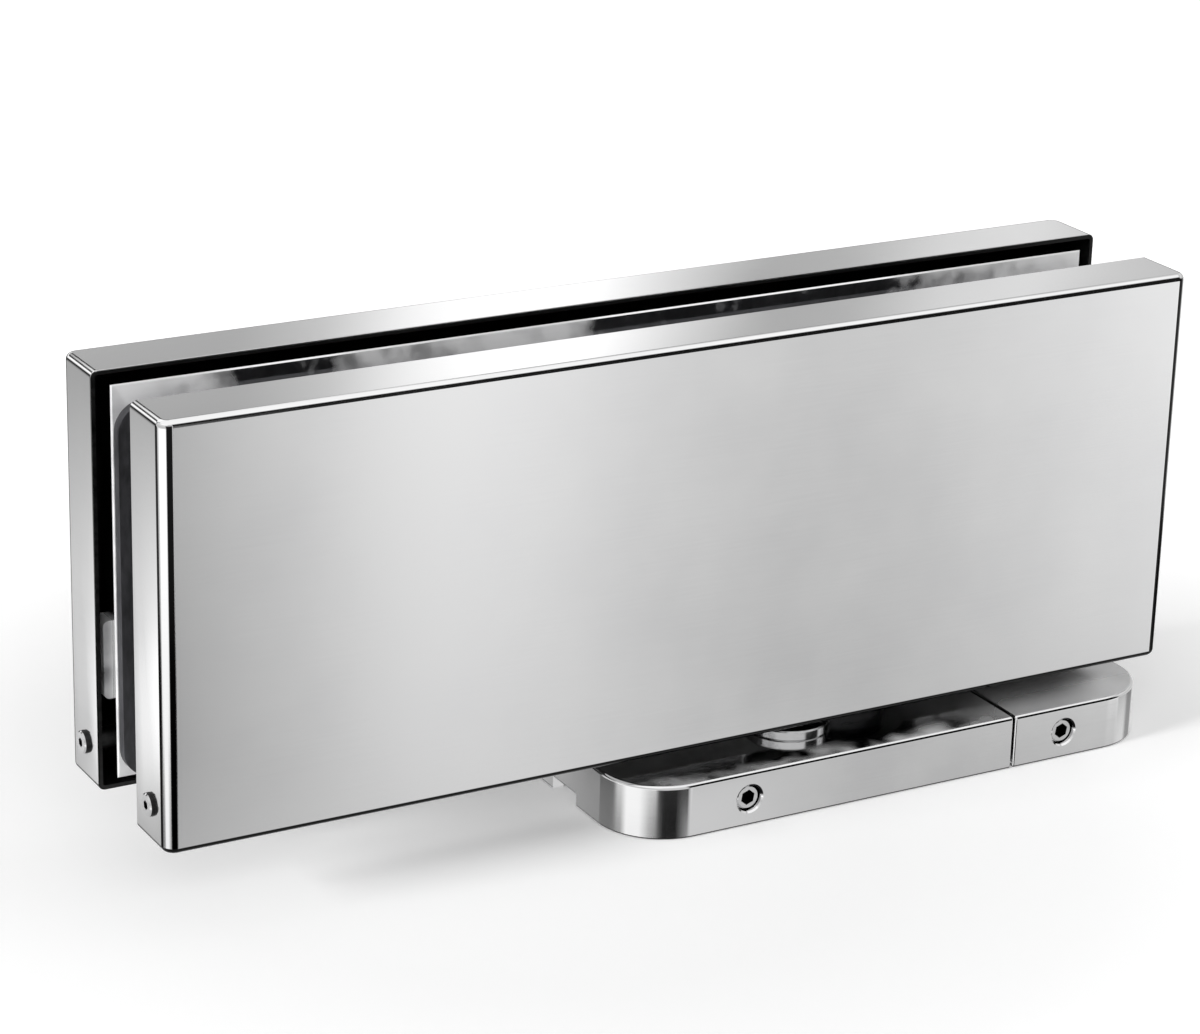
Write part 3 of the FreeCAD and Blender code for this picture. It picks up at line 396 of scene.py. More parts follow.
def flat_coil(name, cad_name, sign):
    """A spring of flat wire with softened corners, wound outwards from the piston's seat."""
    low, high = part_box(cad_name)
    axis_z = (low.z + high.z) / 2
    radius = (high.z - low.z - WIRE_WIDTH) / 2
    wide = WIRE_WIDTH / 2
    tall = WIRE_HEIGHT / 2
    section = [(wide - WIRE_BEVEL, -tall), (wide, WIRE_BEVEL - tall), (wide, tall - WIRE_BEVEL),
               (wide - WIRE_BEVEL, tall), (WIRE_BEVEL - wide, tall), (-wide, tall - WIRE_BEVEL),
               (-wide, WIRE_BEVEL - tall), (WIRE_BEVEL - wide, -tall)]
    length = high.x - low.x - WIRE_HEIGHT
    turns = length / SPRING_PITCH
    start = min(abs(low.x), abs(high.x)) + tall
    steps = math.ceil(turns * TURN_SEGMENTS)
    work = bmesh.new()
    rings = []
    for step in range(steps + 1):
        angle = 2 * math.pi * turns * step / steps
        along = start + length * step / steps
        ring = []
        for across, up in section:
            reach = radius + across
            place = (sign * (along + up), reach * math.sin(angle), axis_z - sign * reach * math.cos(angle))
            ring.append(work.verts.new(place))
        rings.append(ring)
    skin(work, rings)
    bmesh.ops.recalc_face_normals(work, faces=work.faces[:])
    return even_normals(object_from(name, work))


# Node helpers


def link(tree, source, target):
    """Joins two node sockets, or writes a plain value into the second."""
    if isinstance(source, bpy.types.NodeSocket):
        tree.links.new(source, target)
    else:
        target.default_value = source


def node(tree, kind, slots=None, **settings):
    """A new node with its settings, and with values or links for its slots."""
    made = tree.nodes.new(kind)
    for key, value in settings.items():
        setattr(made, key, value)
    for key, value in (slots or {}).items():
        link(tree, value, made.inputs[key])
    return made


def calculate(tree, operation, first, second=0.0):
    """A math node on two sockets or numbers."""
    return node(tree, "ShaderNodeMath", {0: first, 1: second}, operation=operation).outputs[0]


def times(tree, first, *others):
    """The product of sockets or numbers."""
    for other in others:
        first = calculate(tree, "MULTIPLY", first, other)
    return first


def plus(tree, first, *others):
    """The sum of sockets or numbers."""
    for other in others:
        first = calculate(tree, "ADD", first, other)
    return first


def parts(tree, vector):
    """The X, Y and Z sockets of a vector."""
    return node(tree, "ShaderNodeSeparateXYZ", {0: vector}).outputs


# Screws by Geometry Nodes


def weighted(tree, sockets, terms):
    """A sum of named inputs, each with its own factor."""
    total = plus(tree, 0.0, 0.0)
    for label, factor in terms.items():
        total = plus(tree, total, times(tree, sockets[label], factor))
    return total


def turned_screw_tree(name, sizes, profile):
    """Tree that turns a profile into a screw, cuts a hex socket at its end and sets one on each point."""
    tree = bpy.data.node_groups.new(name, "GeometryNodeTree")
    tree.interface.new_socket("Geometry", in_out="INPUT", socket_type="NodeSocketGeometry")
    for label in sizes:
        tree.interface.new_socket(label, in_out="INPUT", socket_type="NodeSocketFloat")
    tree.interface.new_socket("Geometry", in_out="OUTPUT", socket_type="NodeSocketGeometry")
    entry = node(tree, "NodeGroupInput").outputs
    rings = len(profile)

    grid = node(tree, "GeometryNodeMeshGrid", {
        "Size X": rings - 1, "Size Y": 1.0, "Vertices X": rings, "Vertices Y": SCREW_SIDES + 1})
    spot = parts(tree, node(tree, "GeometryNodeInputPosition").outputs[0])
    ring = plus(tree, spot["X"], (rings - 1) / 2)
    ring_index = node(tree, "FunctionNodeFloatToInt", {0: ring}, rounding_mode="ROUND").outputs[0]
    turn = times(tree, plus(tree, spot["Y"], 0.5), 2 * math.pi)

    chosen = []
    for part in (0, 1):
        switch = node(tree, "GeometryNodeIndexSwitch", {"Index": ring_index}, data_type="FLOAT")
        while len(switch.index_switch_items) < rings:
            switch.index_switch_items.new()
        for i, point in enumerate(profile):
            link(tree, weighted(tree, entry, point[part]), switch.inputs[i + 1])
        chosen.append(switch.outputs[0])
    radius, height = chosen
    place = node(tree, "ShaderNodeCombineXYZ", {
        "X": times(tree, radius, calculate(tree, "COSINE", turn)),
        "Y": times(tree, radius, calculate(tree, "SINE", turn)),
        "Z": height})
    bend = node(tree, "GeometryNodeSetPosition", {
        "Geometry": grid.outputs["Mesh"], "Position": place.outputs[0]})
    closed = node(tree, "GeometryNodeMergeByDistance", {"Geometry": bend.outputs[0], "Distance": WELD})

    key = node(tree, "GeometryNodeMeshCylinder", {
        "Vertices": KEY_SIDES, "Radius": entry["Key Radius"], "Depth": times(tree, entry["Key Depth"], 2.0)})
    level = node(tree, "ShaderNodeCombineXYZ", {"Z": weighted(tree, entry, profile[-1][1])})
    raised_key = node(tree, "GeometryNodeTransform", {
        "Geometry": key.outputs["Mesh"], "Translation": level.outputs[0]})
    screw = node(tree, "GeometryNodeMeshBoolean", operation="DIFFERENCE", solver="EXACT")
    link(tree, closed.outputs[0], screw.inputs["Mesh 1"])
    link(tree, raised_key.outputs[0], screw.inputs["Mesh 2"])

    facing = node(tree, "GeometryNodeInputNamedAttribute", {"Name": "facing"}, data_type="FLOAT_VECTOR")
    clocking = node(tree, "GeometryNodeInputNamedAttribute", {"Name": "clocking"}, data_type="FLOAT")
    aim = node(tree, "FunctionNodeAlignRotationToVector", {"Vector": facing.outputs["Attribute"]}, axis="Z")
    twist = node(tree, "FunctionNodeAxisAngleToRotation", {
        "Axis": (0, 0, 1), "Angle": clocking.outputs["Attribute"]})
    pose = node(tree, "FunctionNodeRotateRotation", {
        "Rotation": aim.outputs[0], "Rotate By": twist.outputs[0]}, rotation_space="LOCAL")
    copies = node(tree, "GeometryNodeInstanceOnPoints", {
        "Points": entry["Geometry"], "Instance": screw.outputs["Mesh"], "Rotation": pose.outputs[0]})
    real = node(tree, "GeometryNodeRealizeInstances", {0: copies.outputs[0]})
    node(tree, "NodeGroupOutput", {"Geometry": real.outputs[0]})
    return tree


def set_screws(name, tree, sizes, spots):
    """Screws at (place, outward direction, turn of the key socket), with painted shade in the socket and on
    the shank.
    """
    mesh = bpy.data.meshes.new(name)
    mesh.from_pydata([place for place, outward, turn in spots], [], [])
    mesh.attributes.new("facing", "FLOAT_VECTOR", "POINT")
    mesh.attributes.new("clocking", "FLOAT", "POINT")
    for i, (place, outward, turn) in enumerate(spots):
        mesh.attributes["facing"].data[i].vector = outward
        mesh.attributes["clocking"].data[i].value = math.radians(turn)
    screws = new_object(name, mesh)
    modifier = screws.modifiers.new("screws", "NODES")
    modifier.node_group = tree
    for item in tree.interface.items_tree:
        if item.in_out == "INPUT" and item.name in sizes:
            modifier[item.identifier] = sizes[item.name]
    settle(screws)
    work = bmesh.new()
    work.from_mesh(screws.data)
    weld(work)
    # Near-black steel in the key sockets and on the shanks: painted shade
    paint(screws, FINISHES["screw_steel"], FINISHES["shade_dark_socket_steel"])
    for face in work.faces:
        middle = face.calc_center_median()
        place, outward, turn = min(spots, key=lambda spot: (middle - spot[0]).length)
        in_socket = (middle - place).cross(outward).length < sizes["Key Radius"]
        on_shank = (place - middle).dot(outward) > 2 * sizes["Bevel"]
        face.material_index = 1 if in_socket or on_shank else 0
    work.to_mesh(screws.data)
    work.free()
    return even_normals(screws)


# Material node groups

FLOAT = "NodeSocketFloat"
VECTOR = "NodeSocketVector"
CLOUD_SHARE = 0.8
HAIRLINE_STRETCH = (60.0, 60.0, 5200.0)
POLISH_SPAN = (0.3, 0.7)
FINE_SHARE = 0.6
COARSE_SCALE = 60.0
GRAIN_SPAN = (0.35, 0.65)


def new_group(name, inputs, outputs):
    """An empty shader node group with named sockets."""
    tree = bpy.data.node_groups.new(name, "ShaderNodeTree")
    for label, kind, value in inputs:
        socket = tree.interface.new_socket(label, in_out="INPUT", socket_type=kind)
        if value is not None:
            socket.default_value = value
    for label, kind in outputs:
        tree.interface.new_socket(label, in_out="OUTPUT", socket_type=kind)
    return tree, node(tree, "NodeGroupInput").outputs, node(tree, "NodeGroupOutput").inputs


def stretch(tree, vector, scale):
    """The same coordinates, finer or coarser along each axis."""
    return node(tree, "ShaderNodeVectorMath", {0: vector, 1: scale}, operation="MULTIPLY").outputs[0]


def noise(tree, vector, scale, detail, roughness=0.5):
    """Noise from 0 to 1."""
    slots = {"Vector": vector, "Scale": scale, "Detail": detail, "Roughness": roughness}
    return node(tree, "ShaderNodeTexNoise", slots).outputs["Fac"]


def remap(tree, value, low, high, new_low=0.0, new_high=1.0, smooth=False):
    """Moves a range of values to another range."""
    slots = dict(enumerate((value, low, high, new_low, new_high)))
    course = "SMOOTHSTEP" if smooth else "LINEAR"
    return node(tree, "ShaderNodeMapRange", slots, interpolation_type=course).outputs["Result"]


def ramp(tree, value, low, high, stops):
    """A curve of grey values through (position, value) stops."""
    made = node(tree, "ShaderNodeValToRGB", {"Fac": remap(tree, value, low, high)})
    elements = made.color_ramp.elements
    while len(elements) < len(stops):
        elements.new(1.0)
    for element, (position, grey) in zip(elements, stops):
        element.position = (position - low) / (high - low)
        element.color = (grey, grey, grey, 1.0)
    return made.outputs["Color"]


def blend(tree, share, first, second):
    """A value between two others."""
    slots = {"Factor": share, "A": first, "B": second}
    return node(tree, "ShaderNodeMix", slots, data_type="FLOAT").outputs["Result"]


def mixed_colour(tree, mask, first, second):
    """A colour between two others, each given as numbers or as a socket."""
    mix = node(tree, "ShaderNodeMix", {"Factor": mask}, data_type="RGBA")
    slots = {item.identifier: item for item in mix.inputs}
    for label, colour in (("A_Color", first), ("B_Color", second)):
        link(tree, (*colour, 1.0) if isinstance(colour, tuple) else colour, slots[label])
    return next(item for item in mix.outputs if item.identifier == "Result_Color")


def polish_group():
    """Faint clouding and hairlines of polished metal: a tint mask, a roughness and a height."""
    tree, entry, leave = new_group("polish", [
        ("Vector", VECTOR, None), ("Cloud Scale", FLOAT, 40.0), ("Roughness Low", FLOAT, 0.06),
        ("Roughness High", FLOAT, 0.12)], [("Tint", FLOAT), ("Roughness", FLOAT), ("Height", FLOAT)])
    cloud = noise(tree, entry["Vector"], entry["Cloud Scale"], 3.0)
    hairlines = noise(tree, stretch(tree, entry["Vector"], HAIRLINE_STRETCH), 1.0, 2.0)
    mixed = plus(tree, times(tree, cloud, CLOUD_SHARE), times(tree, hairlines, 1 - CLOUD_SHARE))
    gloss = remap(tree, mixed, *POLISH_SPAN, entry["Roughness Low"], entry["Roughness High"])
    link(tree, remap(tree, mixed, *POLISH_SPAN), leave["Tint"])
    link(tree, gloss, leave["Roughness"])
    link(tree, hairlines, leave["Height"])
    return tree


def grain_group():
    """Coarse and fine grain of cast, ground or moulded surfaces: a mask, a roughness and a height."""
    tree, entry, leave = new_group("grain", [
        ("Vector", VECTOR, None), ("Stretch", VECTOR, (1.0, 1.0, 1.0)), ("Scale", FLOAT, 800.0),
        ("Roughness Low", FLOAT, 0.3), ("Roughness High", FLOAT, 0.5)],
        [("Mask", FLOAT), ("Roughness", FLOAT), ("Height", FLOAT)])
    fine = noise(tree, stretch(tree, entry["Vector"], entry["Stretch"]), entry["Scale"], 4.0, 0.6)
    coarse = noise(tree, entry["Vector"], COARSE_SCALE, 3.0)
    mixed = plus(tree, times(tree, fine, FINE_SHARE), times(tree, coarse, 1 - FINE_SHARE))
    gloss = remap(tree, mixed, *GRAIN_SPAN, entry["Roughness Low"], entry["Roughness High"])
    link(tree, remap(tree, mixed, *GRAIN_SPAN), leave["Mask"])
    link(tree, gloss, leave["Roughness"])
    link(tree, fine, leave["Height"])
    return tree


POLISH = polish_group()
GRAIN = grain_group()


# Materials

HAIRLINE_DEPTH = 0.02 * MM
GRAIN_DEPTH = 0.05 * MM
# Hazy patches on the base's flat top: its height, the long edges, and the heel with its sides
FLAT_TOP = (9.95 * MM, 10.09 * MM)
HAZY_EDGE = (17.5 * MM, 23 * MM)
HAZY_HEEL = (6 * MM, 26 * MM)
HEEL_SIDES = (9 * MM, 22 * MM)
HEEL_MIDDLE = 0.35
HAZE_SCALE = 95.0
HAZE_SPAN = (0.36, 0.62)
HAZE_START = 0.13
HAZE_ROUGHNESS = 0.5
EVEN_HAZE = 0.375
HAZE_METALLIC = 0.45
# Sideways part of the normal where the painted dark reflection on the flanks of a cover's upright edges
# starts and ends
FACE_FLANK_START = (0.05, 0.09)
FACE_FLANK_END = (0.47, 0.53)
END_FLANK_START = (0.935, 0.955)
END_FLANK_END = (0.008, 0.03)
# Upward part of the normal on upright edges, and on rounded lower edges without the flat underside, which
# also get the painted dark reflection
UPRIGHT_LIMIT = (0.3, 0.5)
LOWER_FLANK = (-0.04, -0.12)
UNDERSIDE = (-0.99, -0.96)
# Near-black colour of the painted dark reflection on those edges
PAINTED_EDGE_DARK = (0.012, 0.012, 0.012)
# Gloss of the clamp plates along their length: hazy where it is high, buffed where it is low
PLATE_GLOSS = [(-140, 0.36), (-138.6, 0.36), (-138.1, 0.6), (-124, 0.6), (-117, 0.3), (-111, 0.16),
               (-101, 0.16), (-96, 0.4), (-88, 0.42), (-75, 0.5), (-62, 0.64), (-54, 0.64), (-49, 0.3),
               (-44, 0.14), (10, 0.14), (22, 0.4), (36, 0.45), (48, 0.6), (57, 0.62)]
PLATE_GRAIN = {"Scale": 260.0, "Stretch": (0.04, 1, 1), "Roughness Low": -0.03, "Roughness High": 0.05}
PLATE_CLOUD_SCALE = 230.0
PLATE_CLOUD_SPAN = (0.35, 0.65)
PLATE_CLOUD_GLOSS = (-0.12, 0.1)
BUFFED_GLOSS = 0.14
BRIGHT_TO_HAZY = (0.2, 0.62)
HAZY_METALLIC = 0.05
PLATE_LUG_REACH = 1.65 * MM
PLATE_SKIN = (0.02 * MM, 0.06 * MM)
PLATE_DENT = 0.12
# The housing gets painted shade below these heights, darkest at its foot
FOOT_SHADE_EDGE = (20 * MM, 38 * MM)
UNSHADED_TONE = 0.65


def empty_material(name):
    """A material and its empty tree."""
    material = bpy.data.materials.new(name)
    material.use_nodes = True
    material.node_tree.nodes.clear()
    return material, material.node_tree


def new_material(name):
    """A material, its tree, the slots of its Principled shader and the Object coordinates."""
    material, tree = empty_material(name + "_finish")
    shader = node(tree, "ShaderNodeBsdfPrincipled")
    node(tree, "ShaderNodeOutputMaterial", {"Surface": shader.outputs["BSDF"]})
    coordinates = node(tree, "ShaderNodeTexCoord").outputs["Object"]
    return material, tree, shader.inputs, coordinates


def use_group(tree, group, coordinates, settings):
    """The outputs of a node group on some coordinates, with its settings."""
    return node(tree, "ShaderNodeGroup", {"Vector": coordinates, **settings}, node_tree=group).outputs


def dent(tree, height, strength, distance, shader):
    """Bump from a height."""
    bump = node(tree, "ShaderNodeBump", {"Strength": strength, "Distance": distance, "Height": height})
    link(tree, bump.outputs["Normal"], shader["Normal"])


def flat_top_haze(tree, coordinates, gloss):
    """The gloss, with hazy patches along the long edges of the base's flat top."""
    along, across, height = parts(tree, coordinates)
    on_top = remap(tree, height, *FLAT_TOP)
    side = calculate(tree, "ABSOLUTE", across)
    near_edge = remap(tree, side, *HAZY_EDGE)
    near_heel = times(tree, remap(tree, along, *HAZY_HEEL), remap(tree, side, *HEEL_SIDES, HEEL_MIDDLE, 1.0))
    patches = remap(tree, noise(tree, coordinates, HAZE_SCALE, 2.0), *HAZE_SPAN, 0.0, HAZE_ROUGHNESS)
    even = times(tree, near_heel, EVEN_HAZE)
    worn = calculate(tree, "MAXIMUM", times(tree, patches, near_edge), even)
    return calculate(tree, "MAXIMUM", gloss, times(tree, worn, on_top))


def facing_parts(tree):
    """The three parts of the object's own normal."""
    return parts(tree, node(tree, "ShaderNodeTexCoord").outputs["Normal"])


def painted_lower_edges(tree):
    """One on the rounded lower edges, which get a painted dark reflection."""
    up = facing_parts(tree)[2]
    return times(tree, remap(tree, up, *LOWER_FLANK), remap(tree, up, *UNDERSIDE))


def painted_cover_edges(tree):
    """One on a cover's lower edges and on the flanks of its rounded upright edges, where a dark reflection
    is painted.
    """
    along, across, up = [calculate(tree, "ABSOLUTE", item) for item in facing_parts(tree)]
    by_face = times(tree, remap(tree, along, *FACE_FLANK_START),
                    remap(tree, along, *FACE_FLANK_END, 1.0, 0.0))
    by_end = times(tree, remap(tree, along, *END_FLANK_START), remap(tree, across, *END_FLANK_END))
    upright = remap(tree, up, *UPRIGHT_LIMIT, 1.0, 0.0)
    flanks = times(tree, plus(tree, by_face, by_end), upright)
    return calculate(tree, "MAXIMUM", flanks, painted_lower_edges(tree))


def polished(name, dark, light, smooth, dull, cloud_scale, depth, hazy=False, painted_dark_edges=None):
    """A polished metal: two close tones, a gloss that varies a little, and where given a painted dark
    reflection on some edges.
    """
    material, tree, shader, coordinates = new_material(name)
    group = use_group(tree, POLISH, coordinates, {
        "Cloud Scale": cloud_scale, "Roughness Low": smooth, "Roughness High": dull})
    colour = mixed_colour(tree, group["Tint"], dark, light)
    # Painted dark reflection: the colour of these edges goes near-black
    if painted_dark_edges:
        colour = mixed_colour(tree, painted_dark_edges(tree), colour, PAINTED_EDGE_DARK)
    link(tree, colour, shader["Base Color"])
    gloss = group["Roughness"]
    metallic = 1.0
    if hazy:
        gloss = flat_top_haze(tree, coordinates, gloss)
        metallic = remap(tree, gloss, HAZE_START, HAZE_ROUGHNESS, 1.0, HAZE_METALLIC)
    link(tree, gloss, shader["Roughness"])
    link(tree, metallic, shader["Metallic"])
    dent(tree, group["Height"], depth, HAIRLINE_DEPTH, shader)
    return material


def buffed_plate(name, dark, light):
    """Machined plate metal, buffed bright on some stretches and left hazy on others."""
    material, tree, shader, coordinates = new_material(name)
    group = use_group(tree, GRAIN, coordinates, PLATE_GRAIN)
    link(tree, mixed_colour(tree, group["Mask"], dark, light), shader["Base Color"])
    spot = parts(tree, coordinates)
    along = times(tree, spot["X"], 1 / MM)
    stretches = ramp(tree, along, PLATE_GLOSS[0][0], PLATE_GLOSS[-1][0], PLATE_GLOSS)
    clouds = noise(tree, coordinates, PLATE_CLOUD_SCALE, 2.0)
    clouds = remap(tree, clouds, *PLATE_CLOUD_SPAN, *PLATE_CLOUD_GLOSS)
    low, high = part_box("rear_clamp_plate")
    below_top = remap(tree, spot["Z"], high.z - PLATE_SKIN[1], high.z - PLATE_SKIN[0], 1.0, 0.0)
    from_end = calculate(tree, "SUBTRACT", spot["X"], low.x + PLATE_LUG_REACH)
    off_end = remap(tree, calculate(tree, "ABSOLUTE", from_end), *PLATE_SKIN)
    hazy = blend(tree, times(tree, below_top, off_end), BUFFED_GLOSS, plus(tree, stretches, clouds))
    gloss = plus(tree, hazy, group["Roughness"])
    link(tree, gloss, shader["Roughness"])
    link(tree, remap(tree, gloss, *BRIGHT_TO_HAZY, 1.0, HAZY_METALLIC), shader["Metallic"])
    dent(tree, group["Height"], PLATE_DENT, GRAIN_DEPTH, shader)
    return material


def painted_foot_shade(tree, coordinates, mask):
    """The tone mask, falling to its dark end towards the foot of the housing: painted shade."""
    unshaded = remap(tree, parts(tree, coordinates)[2], *FOOT_SHADE_EDGE, smooth=True)
    return times(tree, remap(tree, mask, 0.0, 1.0, UNSHADED_TONE, 1.0), unshaded)


def grained(name, dark, light, smooth, dull, scale, along, depth, metallic, foot_shaded=False):
    """A grained surface: cast, ground or turned metal, rubber or fibre."""
    material, tree, shader, coordinates = new_material(name)
    group = use_group(tree, GRAIN, coordinates, {
        "Scale": scale, "Stretch": along, "Roughness Low": smooth, "Roughness High": dull})
    mask = group["Mask"]
    # Darker towards the foot of the housing: painted shade
    if foot_shaded:
        mask = painted_foot_shade(tree, coordinates, mask)
    link(tree, mixed_colour(tree, mask, dark, light), shader["Base Color"])
    link(tree, group["Roughness"], shader["Roughness"])
    link(tree, metallic, shader["Metallic"])
    dent(tree, group["Height"], depth, GRAIN_DEPTH, shader)
    return material


# Dark and light tone, lowest and highest roughness, grain scale and stretch, dent, metallic, painted foot
# shade
GRAINED_FINISHES = {
    # Near-black steel for screw sockets and shanks: painted shade
    "shade_dark_socket_steel": ((0.015, 0.015, 0.015), (0.05, 0.05, 0.05), 0.25, 0.45, 900, (1, 1, 1), 0.2, 1),
    # Near-black steel inside the covers: painted shade
    "shade_dark_sheet_steel": ((0.02, 0.02, 0.02), (0.05, 0.05, 0.05), 0.35, 0.55, 700, (0.1, 1, 1), 0.2, 1),
    # Near-black steel of the spindle and thrust washer: painted shade
    "shade_dark_spindle_steel": (
        (0.03, 0.03, 0.03), (0.07, 0.07, 0.075), 0.25, 0.4, 900, (0.05, 0.05, 1), 0.15, 1),
    "dark_screw_steel": ((0.05, 0.05, 0.05), (0.10, 0.10, 0.11), 0.3, 0.5, 900, (1, 1, 1), 0.2, 1),
    "floor_plate_steel": ((0.42, 0.42, 0.43), (0.55, 0.55, 0.56), 0.28, 0.45, 700, (0.05, 1, 1), 0.2, 1),
    "spindle_steel": ((0.50, 0.50, 0.52), (0.64, 0.64, 0.66), 0.16, 0.28, 900, (0.05, 0.05, 1), 0.15, 1),
    "bearing_bronze": ((0.55, 0.36, 0.15), (0.75, 0.55, 0.28), 0.25, 0.4, 900, (0.1, 0.1, 1), 0.15, 1),
    # The housing's dark tone is reached only at its foot, as painted shade
    "housing_iron": ((0.03, 0.03, 0.03), (0.46, 0.47, 0.48), 0.35, 0.55, 500, (1, 1, 1), 0.3, 1, True),
    "piston_steel": ((0.45, 0.45, 0.47), (0.56, 0.56, 0.58), 0.18, 0.3, 900, (1, 0.1, 0.1), 0.15, 1),
    "valve_brass": ((0.60, 0.44, 0.18), (0.78, 0.62, 0.32), 0.2, 0.35, 900, (1, 0.1, 0.1), 0.15, 1),
    "spring_steel": ((0.20, 0.20, 0.22), (0.34, 0.34, 0.36), 0.3, 0.45, 700, (1, 1, 1), 0.2, 1),
    "seal_rubber": ((0.015, 0.015, 0.015), (0.04, 0.04, 0.04), 0.45, 0.65, 900, (1, 1, 1), 0.2, 0),
    "gasket_fibre": ((0.02, 0.02, 0.022), (0.06, 0.06, 0.065), 0.45, 0.7, 900, (1, 1, 0.3), 0.4, 0),
}
# Dark and light tone, lowest and highest roughness, cloud scale, dent, hazy top, painted dark edges
POLISHED_FINISHES = {
    "polished_steel": ((0.76, 0.76, 0.765), (0.82, 0.82, 0.82), 0.07, 0.11, 45, 0.02, False, painted_cover_edges),
    "base_steel": ((0.74, 0.74, 0.745), (0.81, 0.81, 0.81), 0.07, 0.12, 70, 0.02, True, painted_lower_edges),
    "screw_steel": ((0.66, 0.66, 0.67), (0.76, 0.76, 0.76), 0.10, 0.20, 300, 0.05),
}
FINISHES = {name: grained(name, *values) for name, values in GRAINED_FINISHES.items()}
FINISHES.update({name: polished(name, *values) for name, values in POLISHED_FINISHES.items()})
FINISHES["plate_metal"] = buffed_plate("plate_metal", (0.76, 0.76, 0.77), (0.86, 0.86, 0.86))


# Pieces

# Every CAD node takes its slot's material, but the spindle and its thrust washer get near-black steel,
# painted shade where they can be seen
for row in frame["record"]["subparts"]:
    shade_painted = row["node"] in ("cam_spindle", "thrust_washer")
    finish = "shade_dark_spindle_steel" if shade_painted else row["material_slot"]
    paint(frame["nodes"][row["node"]], FINISHES[finish])


def dress(piece, body, replaced):
    """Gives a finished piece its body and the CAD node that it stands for."""
    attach(piece, body)
    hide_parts(replaced)


for name in ("front_cover", "rear_cover"):
    dress(cover_shell(name + "_shell", name), "door_leaf", name)
for name in ("base_cover_long", "base_cover_short"):
    dress(base_shell(name + "_shell", name), "floor_base", name)

# Each spring is remade as a flat coil of wire in place of its CAD node
for name, sign in (("spring_left", -1), ("spring_right", 1)):
    low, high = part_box(name)
    coil = flat_coil(name + "_coil", name, sign)
    paint(coil, FINISHES["spring_steel"])
    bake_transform(coil)
    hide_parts(name)

# A headless socket screw: its face is at height zero and it points down
HEADLESS_PROFILE = [
    ({}, {"Length": -1}),
    ({"Radius": 1, "Bevel": -2}, {"Length": -1}),
    ({"Radius": 1}, {"Length": -1, "Bevel": 2}),
    ({"Radius": 1}, {"Bevel": -1}),
    ({"Radius": 1, "Bevel": -1}, {}),
    ({}, {}),
]
# A low head screw: its seat is at height zero, and the head is dished
LOW_HEAD_PROFILE = [
    ({}, {"Length": -1}),
    ({"Radius": 1}, {"Length": -1}),
    ({"Radius": 1}, {}),
    ({"Head Radius": 1, "Bevel": -1}, {}),
    ({"Head Radius": 1}, {"Bevel": 1}),
    ({"Head Radius": 1}, {"Head Height": 1, "Bevel": -1}),
    ({"Head Radius": 1, "Bevel": -1}, {"Head Height": 1}),
    ({"Dish Radius": 1}, {"Head Height": 1}),
    ({"Dish Radius": 1, "Dish Depth": -1}, {"Head Height": 1, "Dish Depth": -1}),
    ({}, {"Head Height": 1, "Dish Depth": -1}),
]
HEADLESS = turned_screw_tree("headless_screw", COVER_SCREW, HEADLESS_PROFILE)
LOW_HEAD = turned_screw_tree("low_head_screw", TOP_SCREW, LOW_HEAD_PROFILE)

low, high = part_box("cover_screws")
height = (low.z + high.z) / 2
spots = []
for y in (-COVER_SCREW_OFFSET, COVER_SCREW_OFFSET):
    spots.append((Vector((low.x, y, height)), Vector((-1, 0, 0)), TOE_KEY_TURN))
    spots.append((Vector((high.x, y, height)), Vector((1, 0, 0)), HEEL_KEY_TURN))
dress(set_screws("cover_socket_screws", HEADLESS, COVER_SCREW, spots),
      "door_leaf", "cover_screws")

low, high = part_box("base_side_screws")
height = (low.z + high.z) / 2
spots = []
for x in SIDE_SCREW_X:
    spots.append((Vector((x, low.y, height)), Vector((0, -1, 0)), FRONT_KEY_TURN))
    spots.append((Vector((x, high.y, height)), Vector((0, 1, 0)), REAR_KEY_TURN))
dress(set_screws("side_socket_screws", HEADLESS, SIDE_SCREW, spots),
      "floor_base", "base_side_screws")

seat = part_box("base_cover_long")[1].z
spots = []
for sign in (-1, 1):
    place = Vector((sign * TOP_SCREW_PLACE[0], sign * TOP_SCREW_PLACE[1], seat))
    spots.append((place, Vector((0, 0, 1)), TOP_KEY_TURN))
dress(set_screws("low_head_screws", LOW_HEAD, TOP_SCREW, spots),
      "floor_base", "base_top_screws")


# Floor, studio and camera

FLOOR_SIZE = 6.0
WHITE = (1.0, 1.0, 1.0, 1.0)
PAPER_WHITE = (0.92, 0.92, 0.92, 1.0)
# Glow of the floor against the distance from the middle of the shadow, in metres: dimmer near the object, a
# painted shadow
SHADOWED_FLOOR_GLOW = [(0.0, 0.09), (0.06, 0.09), (0.1, 0.16), (0.17, 0.4), (0.24, 0.56), (1.0, 0.87)]
SHADOW_MIDDLE = Vector((-70.0, -10.0, 0.0)) * MM


